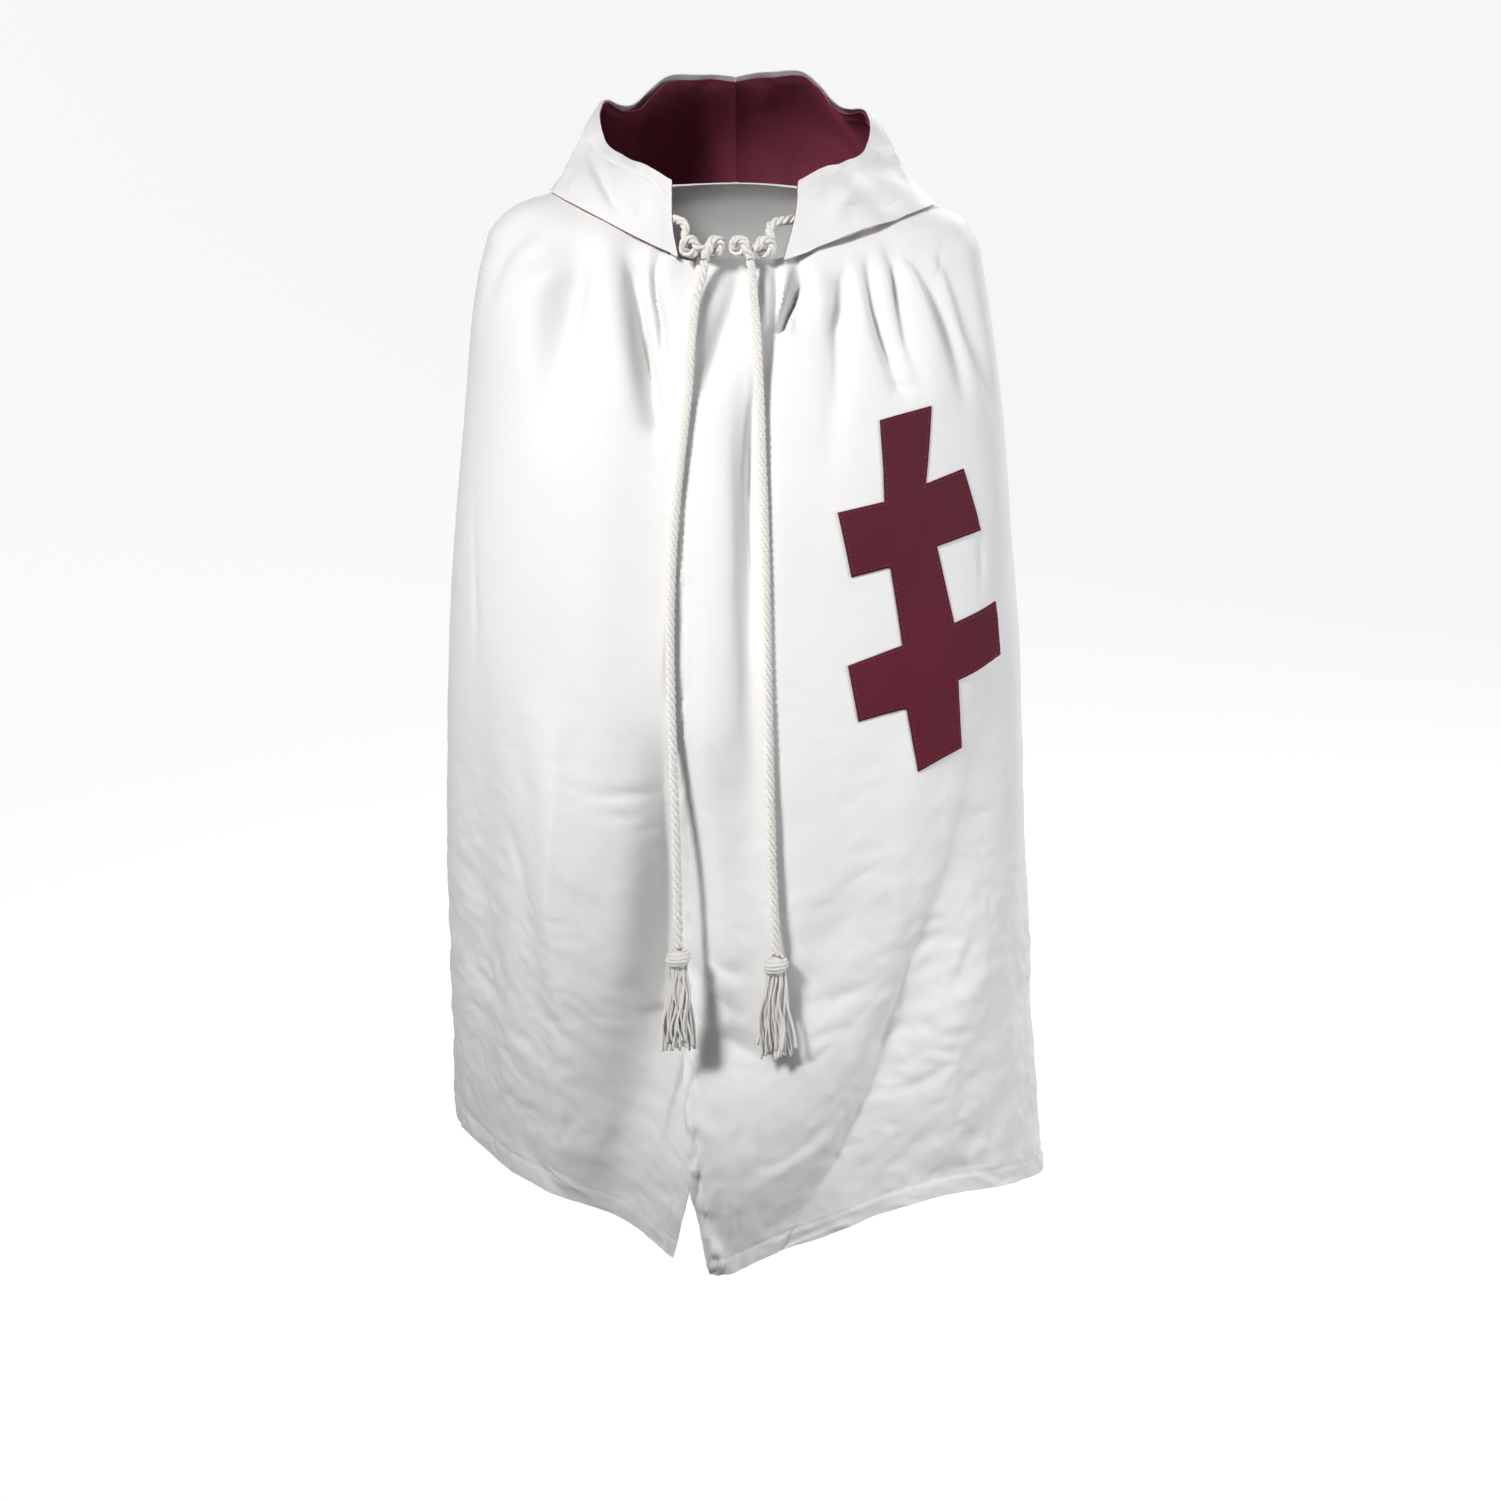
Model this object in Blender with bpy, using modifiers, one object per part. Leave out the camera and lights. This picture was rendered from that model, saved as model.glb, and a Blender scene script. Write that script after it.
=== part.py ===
"""Hooded templar mantle, in the form it takes on a wearer's shoulders. Metres, +Z up.

The wearer faces -Y, so the wearer's left is +X. The origin is the middle of the neck at the shoulder line.
Points on the cloth are named by angle, in degrees round the neck from the front centre towards the wearer's
left, and by fall, the share of the way from the neck seam down to the hem.
"""

import math
from collections import namedtuple

import bmesh
import bpy
import numpy as np
from mathutils import Vector

# Cloth walls and seams
MANTLE_CLOTH = 0.0016
LINING_CLOTH = 0.0010
CROSS_CLOTH = 0.0010
SEAM_GAP = 0.0003
SIDE_SEAM_HALF_GAP = 0.08
BACK_SEAM_HALF_GAP = 0.10

# Neck seam heights and the cloth's length, which scales the folds
SEAM_FRONT_HEIGHT = -0.045
SEAM_RIGHT_HEIGHT = 0.024
SEAM_LEFT_HEIGHT = 0.012
SEAM_BACK_HEIGHT = 0.030
CLOTH_LENGTH = 0.95

# Half widths and depths of the draped cloth; fullness 2 is an ellipse, less is pointed, more is boxy
Section = namedtuple("Section", "fall right left front back fullness")
SECTIONS = [
    Section(0.000, 0.169, 0.186, 0.125, 0.105, 2.05),
    Section(0.010, 0.203, 0.214, 0.135, 0.117, 2.10),
    Section(0.030, 0.231, 0.233, 0.149, 0.131, 2.15),
    Section(0.065, 0.246, 0.243, 0.166, 0.146, 2.20),
    Section(0.110, 0.255, 0.251, 0.184, 0.158, 2.20),
    Section(0.200, 0.265, 0.264, 0.205, 0.169, 2.15),
    Section(0.350, 0.279, 0.279, 0.221, 0.176, 2.10),
    Section(0.550, 0.290, 0.290, 0.234, 0.183, 2.00),
    Section(0.780, 0.294, 0.303, 0.245, 0.193, 1.90),
    Section(1.000, 0.289, 0.319, 0.254, 0.204, 1.85),
]

# Height of the hem round the wearer
HemPoint = namedtuple("HemPoint", "angle height")
HEM = [
    HemPoint(-180, -0.975),
    HemPoint(-150, -0.966),
    HemPoint(-120, -0.938),
    HemPoint(-90, -0.918),
    HemPoint(-60, -0.926),
    HemPoint(-40, -0.940),
    HemPoint(-24, -0.968),
    HemPoint(-13, -0.996),
    HemPoint(-6, -1.006),
    HemPoint(6, -0.992),
    HemPoint(18, -0.978),
    HemPoint(30, -0.958),
    HemPoint(45, -0.945),
    HemPoint(65, -0.955),
    HemPoint(90, -0.979),
    HemPoint(120, -0.976),
    HemPoint(150, -0.972),
    HemPoint(180, -0.975),
]

# Free edges of the fronts and the side seams, which swing back as they fall
Edge = namedtuple("Edge", "fall over under side")
EDGES = [
    Edge(0.00, -16.0, -4.0, 84.0),
    Edge(0.03, -15.0, -4.0, 84.5),
    Edge(0.08, -17.5, -4.5, 85.0),
    Edge(0.18, -16.5, -5.0, 86.5),
    Edge(0.50, -15.0, -5.5, 96.5),
    Edge(0.76, -14.0, -6.0, 99.0),
    Edge(0.89, -11.0, -9.6, 100.0),
    Edge(1.00, -6.0, -15.0, 100.0),
]
UNDERLAP_DEPTH = 0.0056
UNDERLAP_START = -34.0
UNDERLAP_FULL = -20.0

# Folds: a path over the cloth, half widths on its two sides, depth (ridges positive), and how strong it is
# at its start, at its peak (a share of its path) and at its end
Fold = namedtuple("Fold", "path before after depth start peak end")
FRONT_PLEATS = [
    Fold([(17, 0.0), (12, 0.07), (9, 0.16)], 0.008, 0.009, -0.012, 0.9, 0.4, 0.0),
    Fold([(25, 0.0), (18, 0.08)], 0.009, 0.011, -0.018, 0.8, 0.5, 0.0),
    Fold([(40, 0.0), (35, 0.05), (29, 0.10), (23, 0.26)], 0.014, 0.015, -0.017, 0.7, 0.4, 0.0),
    Fold([(47, 0.0), (43, 0.07), (44, 0.17)], 0.009, 0.010, -0.015, 0.7, 0.6, 0.0),
    Fold([(55, 0.0), (51, 0.06), (49, 0.18)], 0.009, 0.010, -0.014, 0.7, 0.5, 0.0),
    Fold([(58, 0.0), (61, 0.07), (62, 0.21)], 0.010, 0.012, -0.013, 0.5, 0.5, 0.0),
    Fold([(69, 0.0), (69, 0.10), (75, 0.22)], 0.012, 0.014, -0.012, 0.4, 0.5, 0.0),
    Fold([(-52, 0.0), (-48, 0.10), (-47, 0.25)], 0.020, 0.022, -0.018, 0.3, 0.5, 0.0),
    Fold([(-38, 0.0), (-31, 0.04), (-26, 0.09), (-20.5, 0.18)], 0.010, 0.012, -0.022, 0.7, 0.6, 0.0),
    Fold([(-31, 0.0), (-23.5, 0.06), (-19, 0.13)], 0.007, 0.008, -0.011, 0.8, 0.5, 0.0),
    Fold([(-66, 0.0), (-72, 0.05), (-74, 0.14)], 0.012, 0.014, -0.009, 0.7, 0.4, 0.0),
    Fold([(1, 0.01), (-6, 0.08), (-10, 0.14)], 0.014, 0.009, -0.011, 0.7, 0.3, 0.0),
]
FRONT_FALLS = [
    Fold([(9, 0.03), (6, 0.15), (4, 0.30), (4, 0.42), (6.5, 0.64)], 0.013, 0.010, -0.014, 0.3, 0.5, 0.0),
    Fold([(-5, 0.14), (-5, 0.40), (-4, 0.70)], 0.020, 0.020, 0.009, 0.2, 0.5, 0.3),
    Fold([(-9, 0.735), (-1, 0.755), (6, 0.778), (15, 0.80)], 0.010, 0.012, -0.011, 0.3, 0.4, 0.0),
    Fold([(-15, 0.42), (-18, 0.53), (-20, 0.63), (-25, 0.77), (-30, 0.89), (-35, 1.0)],
         0.025, 0.030, -0.036, 0.0, 0.45, 0.6),
    Fold([(-47, 0.45), (-41, 0.57), (-40, 0.71), (-38, 0.86), (-42, 1.0)],
         0.028, 0.030, 0.015, 0.0, 0.5, 0.5),
    Fold([(-63, 0.40), (-66, 0.70), (-68, 1.0)], 0.036, 0.040, -0.013, 0.0, 0.6, 0.5),
    Fold([(62, 0.50), (49, 0.66), (39, 0.77), (28, 0.88), (16, 1.0)], 0.030, 0.034, -0.026, 0.0, 0.6, 0.6),
    Fold([(37, 0.59), (21, 0.68), (10, 0.78)], 0.024, 0.026, -0.009, 0.0, 0.5, 0.0),
    Fold([(66, 0.66), (52, 0.82), (42, 1.0)], 0.034, 0.036, 0.014, 0.0, 0.7, 0.7),
    Fold([(84, 0.45), (80, 0.74), (76, 1.0)], 0.030, 0.034, -0.014, 0.0, 0.7, 0.6),
    Fold([(18, 0.70), (6, 0.88), (2, 1.0)], 0.040, 0.040, 0.009, 0.0, 0.6, 0.8),
]
BACK_FOLDS = [
    Fold([(118, 0.30), (116, 0.62), (112, 1.0)], 0.030, 0.034, -0.018, 0.0, 0.7, 1.0),
    Fold([(136, 0.24), (137, 0.60), (134, 1.0)], 0.028, 0.030, 0.013, 0.0, 0.7, 1.0),
    Fold([(153, 0.10), (155, 0.50), (156, 1.0)], 0.028, 0.030, -0.024, 0.0, 0.7, 1.0),
    Fold([(-116, 0.34), (-115, 0.66), (-111, 1.0)], 0.032, 0.030, -0.020, 0.0, 0.7, 1.0),
    Fold([(-134, 0.22), (-136, 0.60), (-137, 1.0)], 0.026, 0.030, 0.012, 0.0, 0.7, 1.0),
    Fold([(-156, 0.12), (-157, 0.50), (-154, 1.0)], 0.030, 0.028, -0.022, 0.0, 0.7, 1.0),
]
FOLDS = FRONT_PLEATS + FRONT_FALLS + BACK_FOLDS
FOLD_PATH_STEPS = 10
RIDGE_CLEAR_FALL = 0.05
NORMAL_TURN = 0.2
NORMAL_FALL = 0.004

# Rows of every panel, from neck seam to hem
PANEL_FALLS = [0.0, 0.012, 0.03, 0.055, 0.085, 0.115, 0.145, 0.175, 0.2125, 0.25, 0.316, 0.358, 0.40, 0.46,
               0.531, 0.59, 0.65, 0.71, 0.765, 0.82, 0.87, 0.92, 0.965, 1.0]
FRONT_COLUMNS = 37
BACK_COLUMNS = 14

# Cross: columns as shares of the left front's width and rows as falls, with the arms of each bar
CROSS_SHAFT = (0.520, 0.636)
CROSS_LEFT_END = 0.402
CROSS_UPPER_END = 0.722
CROSS_LOWER_END = 0.762
Band = namedtuple("Band", "top foot left right")
CROSS_BANDS = [
    Band(0.175, 0.250, CROSS_SHAFT[0], CROSS_SHAFT[1]),
    Band(0.250, 0.316, CROSS_LEFT_END, CROSS_UPPER_END),
    Band(0.316, 0.400, CROSS_SHAFT[0], CROSS_SHAFT[1]),
    Band(0.400, 0.460, CROSS_LEFT_END, CROSS_LOWER_END),
    Band(0.460, 0.531, CROSS_SHAFT[0], CROSS_SHAFT[1]),
]
CROSS_COLUMNS = [CROSS_LEFT_END, *CROSS_SHAFT, CROSS_UPPER_END, CROSS_LOWER_END]

# Hood: its front corner on the neck seam, its mouth, and how its back hangs in a pouch
HOOD_CORNER_LEFT = 20.5
HOOD_CORNER_RIGHT = 23.5
HOOD_OVERLAP = 0.003
HOOD_FOOT_GAP = 0.0015
HOOD_BULGE = 0.007
HOOD_COLUMNS = 19
HOOD_STEPS = [0.0, 0.10, 0.19, 0.29, 0.39, 0.47, 0.55, 0.64, 0.75, 0.88, 0.99, 1.0]
LINING_ROWS = slice(1, -1)
LINING_GAP = 0.0007
MouthPoint = namedtuple("MouthPoint", "angle out right_height left_height")
HOOD_MOUTH = [
    MouthPoint(31, 0.118, 0.036, 0.034),
    MouthPoint(45, 0.113, 0.046, 0.044),
    MouthPoint(72, 0.112, 0.056, 0.050),
    MouthPoint(90, 0.126, 0.071, 0.062),
    MouthPoint(105, 0.138, 0.100, 0.086),
    MouthPoint(118, 0.146, 0.112, 0.102),
    MouthPoint(135, 0.148, 0.108, 0.108),
    MouthPoint(151, 0.146, 0.136, 0.140),
    MouthPoint(165, 0.142, 0.138, 0.141),
    MouthPoint(180, 0.138, 0.136, 0.136),
]
PouchPoint = namedtuple("PouchPoint", "step out drop")
HOOD_POUCH = [
    PouchPoint(0.00, 0.000, 0.000),
    PouchPoint(0.12, 0.036, 0.066),
    PouchPoint(0.28, 0.054, 0.161),
    PouchPoint(0.40, 0.069, 0.219),
    PouchPoint(0.50, 0.092, 0.238),
    PouchPoint(0.60, 0.110, 0.206),
    PouchPoint(0.74, 0.108, 0.130),
    PouchPoint(0.88, 0.070, 0.052),
    PouchPoint(1.00, 0.000, 0.000),
]
POUCH_START = 116.0
POUCH_FULL = 160.0
POUCH_HALF_WIDTH = 0.186
POUCH_BACK = 0.246
POUCH_SIDE_SLOPE = 0.47
LEAST_SIDEWAYS = 0.01
PUFF_START = 90.0
POUCH_REST = 0.0074
POUCH_DEPTH = 0.014
POUCH_DEEPENS = (0.30, 0.65)
POUCH_DEEP_FALL = 0.03

# Rope tie: loops at the neck, hanging ropes and tassels
ROPE_DIAMETER = 0.0090
TIE_CENTRE = -0.006
TIE_FRONT = -0.1375
Loop = namedtuple("Loop", "aside height radius first last layer")
TIE_LOOPS = [
    Loop(0.0355, -0.0275, 0.0080, 50, 440, 0.0102),
    Loop(0.0123, -0.0222, 0.0074, 60, 330, 0.0),
]
TieSeat = namedtuple("TieSeat", "side gap")
TIE_SEATS = [TieSeat(1, 0.0008), TieSeat(-1, 0.0020)]
TIE_SEAT_STEP = 0.53
TIE_SEAT_ANGLE = 2.0
SEAT_PATCH = (1.0, 0.05)
TIE_LEAD = (0.0395, 0.0125, -0.009)
TIE_END = [(0.0205, -0.0113, -0.0340), (0.0212, -0.0116, -0.0378)]
LOOP_STEP_DEGREES = 32
ROPE_RIGHT_ROUTE = [
    (-0.0272, -0.1491, -0.0394), (-0.0295, -0.1530, -0.0530), (-0.0338, -0.1595, -0.0680),
    (-0.0370, -0.1670, -0.0855), (-0.0390, -0.1750, -0.1060), (-0.0407, -0.1845, -0.1300),
    (-0.0426, -0.1945, -0.1600), (-0.0461, -0.2025, -0.1910), (-0.0498, -0.2085, -0.2230),
    (-0.0535, -0.2140, -0.2590), (-0.0564, -0.2180, -0.2960), (-0.0584, -0.2215, -0.3370),
    (-0.0594, -0.2253, -0.3830), (-0.0588, -0.2289, -0.4300), (-0.0578, -0.2314, -0.4720),
    (-0.0564, -0.2336, -0.5150), (-0.0550, -0.2360, -0.5580), (-0.0540, -0.2395, -0.6010),
    (-0.0532, -0.2440, -0.6390), (-0.0528, -0.2480, -0.6730),
]
ROPE_LEFT_ROUTE = [
    (0.0152, -0.1491, -0.0394), (0.0164, -0.1530, -0.0530), (0.0177, -0.1595, -0.0680),
    (0.0194, -0.1670, -0.0855), (0.0212, -0.1750, -0.1060), (0.0223, -0.1845, -0.1300),
    (0.0238, -0.1940, -0.1600), (0.0249, -0.2020, -0.1910), (0.0259, -0.2075, -0.2230),
    (0.0275, -0.2130, -0.2590), (0.0286, -0.2175, -0.2960), (0.0295, -0.2226, -0.3370),
    (0.0305, -0.2266, -0.3830), (0.0315, -0.2301, -0.4300), (0.0324, -0.2328, -0.4720),
    (0.0334, -0.2353, -0.5150), (0.0345, -0.2380, -0.5580), (0.0358, -0.2415, -0.6010),
    (0.0374, -0.2460, -0.6390), (0.0388, -0.2510, -0.6790),
]
ROPE_STEP = 0.026
TIE_STEP = 0.0052
TASSEL_HEAD_WIDTH = 0.0225
TASSEL_HEAD_HEIGHT = 0.0175
TASSEL_SKIRT = 0.090
TASSEL_DEPTH_SHARE = 0.52
TASSEL_LEAN = 0.005
StrandRing = namedtuple("StrandRing", "count root tip length")
STRAND_RINGS = [
    StrandRing(14, 0.0066, 0.0165, 1.00),
    StrandRing(8, 0.0034, 0.0090, 0.94),
]
STRAND_RADIUS = 0.0011
STRAND_SWAY = 0.0014
STRAND_SWAY_TURN = 2.3
STRAND_UNEVENNESS = 0.06
STRAND_LENGTH_TURN = 3.7
STRAND_SHARES = [0.0, 0.35, 0.7, 1.0]
STRAND_SIDES = 3
HEAD_SEGMENTS = (12, 8)

# Colours and finishes
Finish = namedtuple("Finish", "colour roughness")
FINISHES = {
    "white_cloth": Finish((0.83, 0.82, 0.80), 0.80),
    "maroon_lining": Finish((0.115, 0.020, 0.032), 0.60),
    "maroon_applique": Finish((0.125, 0.025, 0.040), 0.75),
    "white_rope": Finish((0.80, 0.79, 0.75), 0.65),
}


def clear_scene():
    for item in list(bpy.data.objects):
        bpy.data.objects.remove(item, do_unlink=True)


def make_collection(name):
    group = bpy.data.collections.new(name)
    bpy.context.scene.collection.children.link(group)
    return group


def make_material(name):
    finish = FINISHES[name]
    material = bpy.data.materials.new(name)
    material.use_nodes = True
    shader = material.node_tree.nodes["Principled BSDF"]
    shader.inputs["Base Color"].default_value = (*finish.colour, 1.0)
    shader.inputs["Roughness"].default_value = finish.roughness
    shader.inputs["Metallic"].default_value = 0.0
    return material


def place(name, data, finish):
    """Put a mesh or curve in the mantle's collection under its own name, with its own material."""
    item = bpy.data.objects.new(name, data)
    data.materials.append(MATERIALS[finish])
    MANTLE.objects.link(item)
    return item


def column(rows, name):
    return np.array([getattr(row, name) for row in rows], float)


def ease(share):
    """Smooth step from 0 to 1."""
    share = np.clip(share, 0.0, 1.0)
    return share * share * (3.0 - 2.0 * share)


def flowing(keys, values, at):
    """Smooth curve through the values given at the keys."""
    keys = np.asarray(keys, float)
    values = np.asarray(values, float)
    slopes = np.gradient(values, keys)
    at = np.clip(at, keys[0], keys[-1])
    cell = np.clip(np.searchsorted(keys, at, side="right") - 1, 0, len(keys) - 2)
    step = keys[cell + 1] - keys[cell]
    s = (at - keys[cell]) / step
    start = (1 + 2 * s) * (1 - s) ** 2 * values[cell] + s * (1 - s) ** 2 * step * slopes[cell]
    end = s * s * (3 - 2 * s) * values[cell + 1] + s * s * (s - 1) * step * slopes[cell + 1]
    return start + end


def section_value(name, fall):
    return flowing(column(SECTIONS, "fall"), column(SECTIONS, name), fall)


def edge_angle(name, fall):
    return flowing(column(EDGES, "fall"), column(EDGES, name), fall)


def seam_height(angle):
    """Height of the neck seam: low in front, higher at the shoulders and the nape."""
    turn = np.radians(angle)
    middle = 0.5 * (SEAM_RIGHT_HEIGHT + SEAM_LEFT_HEIGHT)
    side = middle + 0.5 * (SEAM_LEFT_HEIGHT - SEAM_RIGHT_HEIGHT) * np.sin(turn)
    end = np.where(np.cos(turn) > 0, SEAM_FRONT_HEIGHT, SEAM_BACK_HEIGHT)
    return side + (end - side) * np.cos(turn) ** 2


def hem_height(angle):
    return flowing(column(HEM, "angle"), column(HEM, "height"), angle)


def ring_reach(angle, fall):
    """Distance from the neck's axis out to the cloth."""
    turn = np.radians(angle)
    wide = np.where(angle < 0, section_value("right", fall), section_value("left", fall))
    deep = np.where(np.cos(turn) > 0, section_value("front", fall), section_value("back", fall))
    fullness = section_value("fullness", fall)
    spread = np.abs(np.sin(turn) / wide) ** fullness + np.abs(np.cos(turn) / deep) ** fullness
    return spread ** (-1.0 / fullness)


def drape(angle, fall):
    """Point on the mantle before it is folded."""
    angle, fall = np.broadcast_arrays(np.asarray(angle, float), np.asarray(fall, float))
    turn = np.radians(angle)
    reach = ring_reach(angle, fall)
    top = seam_height(angle)
    height = top + (hem_height(angle) - top) * fall
    return np.stack([reach * np.sin(turn), -reach * np.cos(turn), height], -1)


def unit(vectors):
    return vectors / np.linalg.norm(vectors, axis=-1, keepdims=True)


def drape_normal(angle, fall):
    """Outward direction of the unfolded mantle."""
    around = drape(angle + NORMAL_TURN, fall) - drape(angle - NORMAL_TURN, fall)
    low = np.clip(fall + NORMAL_FALL, 0, 1)
    high = np.clip(fall - NORMAL_FALL, 0, 1)
    down = drape(angle, low) - drape(angle, high)
    return unit(np.cross(down, around))


def cloth_map(angle, fall):
    """The cloth laid flat, nearly to scale: distance round the wearer and distance from the neck seam."""
    half_width = 0.5 * (section_value("right", fall) + section_value("left", fall))
    girth = 0.5 * (section_value("front", fall) + half_width)
    return np.stack([np.radians(angle) * girth, fall * CLOTH_LENGTH], -1)


def fold_path(fold):
    """The fold's path on the flat cloth, as a smooth run of points."""
    stops = np.array(fold.path, float)
    keys = np.arange(len(stops))
    at = np.linspace(0, len(stops) - 1, FOLD_PATH_STEPS * (len(stops) - 1) + 1)
    angle = flowing(keys, stops[:, 0], at) if len(stops) > 2 else np.interp(at, keys, stops[:, 0])
    fall = flowing(keys, stops[:, 1], at) if len(stops) > 2 else np.interp(at, keys, stops[:, 1])
    return cloth_map(angle, fall)


def fold_strength(fold, along):
    """How strong the fold is at a share of its path."""
    rise = fold.start + (1 - fold.start) * ease(along / fold.peak)
    drop = fold.end + (1 - fold.end) * ease((1 - along) / (1 - fold.peak))
    return np.where(along < fold.peak, rise, drop)


def fold_shape(fold, flat):
    """Height of one fold at every point of the flat cloth."""
    path = fold_path(fold)
    nearest = np.full(flat.shape[:-1], np.inf)
    side = np.zeros(flat.shape[:-1])
    along = np.zeros(flat.shape[:-1])
    for index in range(len(path) - 1):
        run = path[index + 1] - path[index]
        offset = flat - path[index]
        share = np.clip((offset @ run) / (run @ run), 0, 1)
        apart = offset - share[..., None] * run
        distance = np.hypot(apart[..., 0], apart[..., 1])
        closer = distance < nearest
        turned = run[0] * offset[..., 1] - run[1] * offset[..., 0]
        nearest = np.where(closer, distance, nearest)
        side = np.where(closer, turned, side)
        along = np.where(closer, (index + share) / (len(path) - 1), along)
    width = np.where(side > 0, fold.before, fold.after)
    return fold.depth * fold_strength(fold, along) * np.exp(-(nearest / width) ** 2)


def fold_height(angle, fall):
    """Height of all folds together; ridges start clear of the hood's lower edge."""
    flat = cloth_map(angle, fall)
    total = np.zeros(flat.shape[:-1])
    for fold in FOLDS:
        total += fold_shape(fold, flat)
    return np.where(total > 0, total * ease(fall / RIDGE_CLEAR_FALL), total)


def cloth(angle, fall, sink=0.0):
    """Point on the mantle's outer face, sunk inwards where it lies under another piece."""
    angle, fall = np.broadcast_arrays(np.asarray(angle, float), np.asarray(fall, float))
    lift = fold_height(angle, fall) - sink
    return drape(angle, fall) + lift[..., None] * drape_normal(angle, fall)


def grid_normals(points):
    """Outward directions of a folded grid of rows going down and columns going round."""
    down = np.gradient(points, axis=0)
    around = np.gradient(points, axis=1)
    return unit(np.cross(down, around))


def grid_mesh(name, points, keep=None):
    """Quads over a grid of points, outer side out, with only the cells that are kept."""
    rows, columns = points.shape[:2]
    shell = bmesh.new()
    made = {}

    def corner(row, col):
        if (row, col) not in made:
            made[row, col] = shell.verts.new(points[row, col])
        return made[row, col]

    for row in range(rows - 1):
        for col in range(columns - 1):
            if keep is None or keep[row, col]:
                ring = [(row, col), (row + 1, col), (row + 1, col + 1), (row, col + 1)]
                shell.faces.new([corner(*place_at) for place_at in ring])
    mesh = bpy.data.meshes.new(name)
    shell.to_mesh(mesh)
    shell.free()
    mesh.shade_smooth()
    return mesh


def sew(name, points, wall, finish, keep=None):
    """A cloth piece: an open grid with its wall grown inwards."""
    item = place(name, grid_mesh(name, points, keep), finish)
    thickness = item.modifiers.new("wall", "SOLIDIFY")
    thickness.thickness = wall
    thickness.offset = -1.0
    thickness.use_even_offset = False
    return item


def front_columns(must_have=()):
    """Column places across a front, as shares of its width, moved to pass through the given places."""
    shares = np.linspace(0.0, 1.0, FRONT_COLUMNS)
    for place_at in must_have:
        shares[np.argmin(np.abs(shares - place_at))] = place_at
    return shares


def front_left_grid():
    shares, falls = np.meshgrid(front_columns(CROSS_COLUMNS), PANEL_FALLS)
    edge = edge_angle("over", falls)
    seam = edge_angle("side", falls) - SIDE_SEAM_HALF_GAP
    return shares, falls, cloth(edge + (seam - edge) * shares, falls)


def front_right_grid():
    shares, falls = np.meshgrid(front_columns(), PANEL_FALLS)
    edge = edge_angle("under", falls)
    seam = SIDE_SEAM_HALF_GAP - edge_angle("side", falls)
    angle = seam + (edge - seam) * shares
    sink = UNDERLAP_DEPTH * ease((angle - UNDERLAP_START) / (UNDERLAP_FULL - UNDERLAP_START))
    return cloth(angle, falls, sink)


def back_grid(side):
    """Half of the back, from the side seam to the centre back, columns going towards the wearer's left."""
    shares, falls = np.meshgrid(np.linspace(0.0, 1.0, BACK_COLUMNS), PANEL_FALLS)
    seam = edge_angle("side", falls) + SIDE_SEAM_HALF_GAP
    angle = seam + (180.0 - BACK_SEAM_HALF_GAP - seam) * shares
    if side < 0:
        angle = -angle[:, ::-1]
    return cloth(angle, falls)


def make_panels():
    shares, falls, left = front_left_grid()
    sew("front_left", left, MANTLE_CLOTH, "white_cloth")
    sew("front_right", front_right_grid(), MANTLE_CLOTH, "white_cloth")
    sew("back_left", back_grid(1), MANTLE_CLOTH, "white_cloth")
    sew("back_right", back_grid(-1), MANTLE_CLOTH, "white_cloth")
    make_cross(shares, falls, left)


def make_cross(shares, falls, panel):
    """The cross: cells of the left front that fall within its bands, moved out onto the cloth."""
    across = 0.5 * (shares[:-1, :-1] + shares[:-1, 1:])
    down = 0.5 * (falls[:-1, :-1] + falls[1:, :-1])
    keep = np.zeros(across.shape, bool)
    for band in CROSS_BANDS:
        keep |= (across > band.left) & (across < band.right) & (down > band.top) & (down < band.foot)
    outer = panel + (SEAM_GAP + CROSS_CLOTH) * grid_normals(panel)
    sew("cross", outer, CROSS_CLOTH, "maroon_applique", keep)


def hood_corner(side):
    return HOOD_CORNER_LEFT if side > 0 else HOOD_CORNER_RIGHT


def mouth_angle(side, angle):
    """Where the hood's mouth lies over a place on the neck seam."""
    first = HOOD_MOUTH[0].angle
    return first + (angle - hood_corner(side)) * (180.0 - first) / (180.0 - hood_corner(side))


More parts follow.
